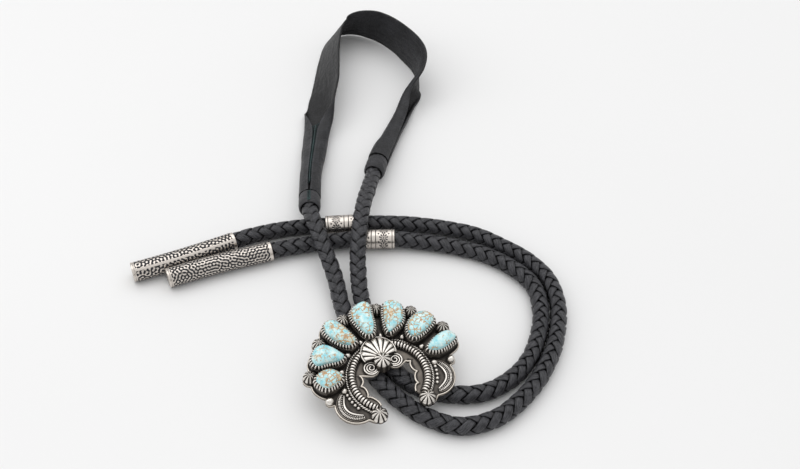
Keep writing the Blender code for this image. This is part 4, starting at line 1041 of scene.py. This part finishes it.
def shell_fan(shape):
    """A fan of broad ridges spreading from under the centre button, inside a thin round rim."""
    centre = np.array(SHELL_CENTRE_MM)
    focus = np.array(SHELL_FOCUS_MM)
    spread = np.linspace(5.0, 175.0, SHELL_RIDGES * 18 + 1)
    lobe = np.abs(np.sin(math.pi * SHELL_RIDGES * (spread - 5.0) / 170.0)) ** 0.62
    ray = polar(1.0, spread)
    along = ray @ (centre - focus)
    reach = along + np.sqrt(SHELL_RADIUS_MM ** 2 - ((centre - focus) ** 2).sum() + along ** 2)
    edge = focus + ray * (reach * (1 - 0.03 * (1 - lobe)))[:, None]
    edge = np.vstack([edge, focus])
    lobe = np.append(lobe, 0.0)
    rings = [lifted(edge, -0.3)]
    shares = [np.full(len(edge), 0.2)]
    for share in np.linspace(1.0, 0.03, 18):
        flat = focus + (edge - focus) * share
        away = np.minimum(np.linalg.norm(flat - centre, axis=1) / SHELL_RADIUS_MM, 1.0)
        lift = 1.7 * np.sqrt(1 - 0.93 * away ** 2) - 0.50 * min(share * 1.6, 1.0) * (1 - lobe)
        level = 1.0 + 1.2 * share ** 0.5 + np.maximum(lift, -0.25)
        rings.append(np.concatenate([flat, level[:, None]], axis=1))
        shares.append(1 - 0.97 * np.clip((0.70 - lobe) / 0.35, 0.0, 1.0) * min(share * 3.0, 1.0))
    shape.grid(np.array(rings), caps=True, share=np.array(shares))
    rim = focus + ray * (reach + 0.20)[:, None]
    shape.tube(lifted(rim, 2.30)[::3], 0.24, sides=8)
    shape.grid(np.array([lifted(rim, -0.3), lifted(rim, 2.30)]), close_cols=False, share=0.20)


def domes(material, matrix):
    """The shell, the centre button, the end buttons and the rim buttons."""
    shape = Shape()
    shell_fan(shape)
    fluted_dome(shape, (-0.36, 5.95), 3.15, 1.7, 9, 0.20, foot=2.8)
    for angle in (234.0, -54.0):
        fluted_dome(shape, polar(15.5, angle), 3.05, 2.7, 9, 0.24, ridge=0.75)
    for angle in RIM_BUTTON_ANGLES:
        fluted_dome(shape, polar(RIM_BUTTON_RING_MM, angle), 2.5, 2.6, 9, 0.24, foot=1.2, ridge=0.9, wear_and_painted_shading=0.80)
    return shape.build("ornament_buttons", material, sharp=60, matrix=matrix)


def grains(material, matrix):
    """The small balls: between the stones, at the shoulders and down both arms."""
    shape = Shape()
    for angle in INNER_BALL_ANGLES:
        shape.ball(lifted(polar(17.1, angle), 0.75), 1.10)
    for angle in SHOULDER_BALL_ANGLES:
        shape.ball(lifted(polar(SHOULDER_BALL_RING_MM, angle), 0.8), 1.5)
    for angles, ring in ((LEFT_GRAINS, 16.7), (RIGHT_GRAINS, 16.9)):
        for angle in angles:
            shape.ball(lifted(polar(ring, angle), 0.40), 0.62)
    return shape.build("ornament_balls", material, sharp=60, matrix=matrix)


def spirals(material, matrix):
    """Two wires wound flat, each on its own small disc."""
    shape = Shape()
    for side, centre in ((1, SPIRALS_MM[0]), (-1, SPIRALS_MM[1])):
        centre = np.array(centre)
        turns = np.linspace(0.0, 2.6, 170)
        radius = np.minimum(0.50 + 2.05 * turns / 2.25, 2.55)
        line = lifted(centre + polar(1.0, 90 - side * 360 * turns) * radius[:, None], 0.95)
        shape.tube(line, 0.27 + 0.05 * np.minimum(turns / 2.25, 1.0), sides=8)
        disc = np.array([lifted(centre + polar(r, np.linspace(0, 360, 41)[:-1]), h)
                         for r, h in ((2.75, -0.4), (2.75, 0.55), (2.4, 0.62), (0.1, 0.62))])
        shape.grid(disc, caps=True, share=np.array((0.45, 0.30, 0.02, 0.02))[:, None])
    return shape.build("ornament_spirals", material, sharp=60, matrix=matrix)


def panels(material, matrix):
    """Two stamped crescents between a raised rim and a raised ridge."""
    shape = Shape()
    for middle in (PANEL_CENTRE_ANGLE, 180 - PANEL_CENTRE_ANGLE):
        way = 1 if middle > 90 else -1
        centre = polar(PANEL_CENTRE_RING_MM, middle)
        turns = np.linspace(-1.0, 1.0, 420)
        angles = middle + way * 78 * turns
        ridge = 4.35 + 1.1 * turns ** 4
        rim = 6.75 - 0.15 * turns ** 4
        rows = []
        shares = []
        for share in np.linspace(0.0, 1.0, 26):
            radius = ridge + (rim - ridge) * share
            level = np.full(len(angles), 0.40)
            tone = np.full(len(angles), 0.08)
            if 0.14 < share < 0.40:
                dot = np.abs(np.sin(np.radians(angles) * 21)) * math.sin(math.pi * (share - 0.14) / 0.26)
                level = level + 0.34 * dot
                tone = np.where(dot > 0.45, 1.0, 0.10)
            if 0.46 < share < 0.84:
                ray = np.abs(np.sin(np.radians(angles) * 32 + 3.0 * share)) > 0.55
                level = level + 0.10 + 0.12 * ray
                tone = np.where(ray, 0.74, 0.25)
            point = centre + polar(1.0, angles) * radius[:, None]
            rows.append(np.concatenate([point, level[:, None]], axis=1))
            shares.append(tone)
        shape.grid(np.array(rows), close_cols=False, share=np.array(shares))
        edge = centre + polar(1.0, angles) * (rim + 0.05)[:, None]
        shape.tube(lifted(edge, 0.36)[::4], 0.20, sides=8, share=0.6)
        crest = centre + polar(1.0, angles) * (ridge - 0.15)[:, None]
        swell = 0.14 + 0.27 * np.sqrt(np.maximum(1 - turns ** 2, 0.0))
        shape.tube(lifted(crest, 0.50)[::4], swell[::4], sides=8)
    return shape.build("ornament_panels", material, sharp=60, matrix=matrix)


def ornament():
    matrix = ornament_matrix()
    bright = silver("oxidised_silver")
    sheet = silver("oxidised_sheet", bright=(0.60, 0.55, 0.49), stops=(0.26, 0.92))
    teeth = silver("bezel_silver", bright=(0.84, 0.80, 0.75), stops=(0.30, 0.62))
    metal = [plate(sheet, matrix), bezels(teeth, matrix), band(bright, matrix), twisted_wires(bright, matrix),
             domes(bright, matrix), grains(bright, matrix), spirals(bright, matrix), panels(bright, matrix)]
    for piece in metal:
        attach(piece, "root")
    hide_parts("ornament")
    for number, (row, (web_share, tan_share)) in enumerate(zip(STONES_MM, STONE_MARKS), start=1):
        gem = stone(number, row, turquoise(number, web_share, tan_share), matrix)
        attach(gem, "root")
        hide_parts("stone_%d" % number)


def cords_and_ends():
    strands = strand_leather()
    hem = leather("hem_leather", (0.028, 0.028, 0.032), (0.072, 0.072, 0.081), 0.50, 1300.0, 0.9)
    thread = leather("dark_thread", (0.035, 0.075, 0.075), (0.090, 0.180, 0.180), 0.45, 3000.0, 0.3)
    stamped = silver("stamped_silver", bright=(0.66, 0.61, 0.56), dark=(0.014, 0.016, 0.022),
                     stops=(0.40, 0.86))
    sides = (
        ("left", LEFT_CORD_ROUTE, LEFT_BEAD_FROM_MOUTH, 1.26,
         stamped_waves(5, 0.00140, -0.25, ((0.9, 0.13),))),
        ("right", RIGHT_CORD_ROUTE, RIGHT_BEAD_FROM_MOUTH, math.pi / 4,
         stamped_waves(9, 0.00126, -0.30, ())),
    )
    for number, (side, route, bead_distance, first_turn, relief) in enumerate(sides):
        points = smooth_line(route, CORD_SPACING)
        plaited, line = braid("cord_" + side + "_braid", route, first_turn, math.pi / 4, 20 + number, strands)
        barrel = bead(side, points, bead_distance + TIP_SOCKET, stamped)
        end = tip(side, points, relief, stamped)
        from_start = float(np.linalg.norm(np.subtract(route[1], route[0]))) + COLLAR_GAP + COLLAR_LENGTH / 2
        cuff = collar(side, points[::-1], from_start, hem)
        rows = [(plaited, "cord_leather", "cord_" + side), (barrel, "silver", "bead_" + side),
                (end, "silver", "tip_" + side), (cuff, "strap_leather", "collar_" + side)]
        if side == "left":
            rows.append((collar_thread(points[::-1], from_start, thread), "strap_leather", None))
        for piece, slot, node in rows:
            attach(piece, "root")
            if node:
                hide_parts(node)


def strap():
    hide = leather("strap_hide", (0.019, 0.019, 0.022), (0.062, 0.063, 0.071), 0.50, 1100.0, 1.0)
    thread = leather("seam_thread", (0.007, 0.020, 0.021), (0.028, 0.062, 0.064), 0.45, 3000.0, 0.3)
    for piece in neck_strap(hide, thread):
        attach(piece, "root")
        if piece.name.startswith("neck"):
            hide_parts("neck_strap")


def clasp():
    """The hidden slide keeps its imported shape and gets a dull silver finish."""
    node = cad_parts["slide_clasp"]
    node.data.materials.clear()
    node.data.materials.append(silver("clasp_silver_dull", bright=(0.45, 0.43, 0.41)))


# Stage

def area_light(name, place, target, size, power):
    data = bpy.data.lights.new(name, "AREA")
    data.shape = "RECTANGLE"
    data.size, data.size_y = size
    data.energy = power
    made = bpy.data.objects.new(name, data)
    bpy.context.scene.collection.objects.link(made)
    away = Matrix.Translation(place).to_translation() - Matrix.Translation(target).to_translation()
    made.location = place
    made.rotation_euler = away.to_track_quat("Z", "Y").to_euler()


def stage():
    bpy.ops.mesh.primitive_plane_add(size=20.0, location=(0.0, 0.0, -0.00005))
    table = bpy.context.object
    table.name = "table_top"
    table.data.materials.append(plain_floor())
    area_light("softbox_behind", (0.05, 0.62, 1.40), (0.0, 0.06, 0.0), (2.0, 1.5), 7.6)
    area_light("softbox_left", (-0.90, 0.05, 0.55), (0.0, 0.05, 0.0), (0.4, 0.9), 1.5)
    world = bpy.data.worlds.new("pale_room")
    bpy.context.scene.world = world
    world.use_nodes = True
    tree = world.node_tree
    height = tree.nodes.new("ShaderNodeSeparateXYZ")
    tree.links.new(tree.nodes.new("ShaderNodeTexCoord").outputs["Generated"], height.inputs["Vector"])
    sky = ramp(tree, height.outputs["Z"], ((0.0, grey(0.60)), (0.30, grey(0.69)), (0.70, grey(0.86)),
                                           (1.0, grey(0.98))))
    tree.links.new(sky, tree.nodes["Background"].inputs["Color"])
    bpy.context.scene.view_settings.view_transform = "Standard"
    camera_data = bpy.data.cameras.new("photo_camera")
    camera_data.lens = 45.0
    camera_data.sensor_width = 36.0
    camera_data.clip_start = 0.01
    camera = bpy.data.objects.new("photo_camera", camera_data)
    bpy.context.scene.collection.objects.link(camera)
    camera.location = (0.0104, -0.2298, 0.2949)
    camera.rotation_euler = (math.radians(45.0), 0.0, 0.0)
    bpy.context.scene.camera = camera


cords_and_ends()
strap()
ornament()
clasp()
stage()
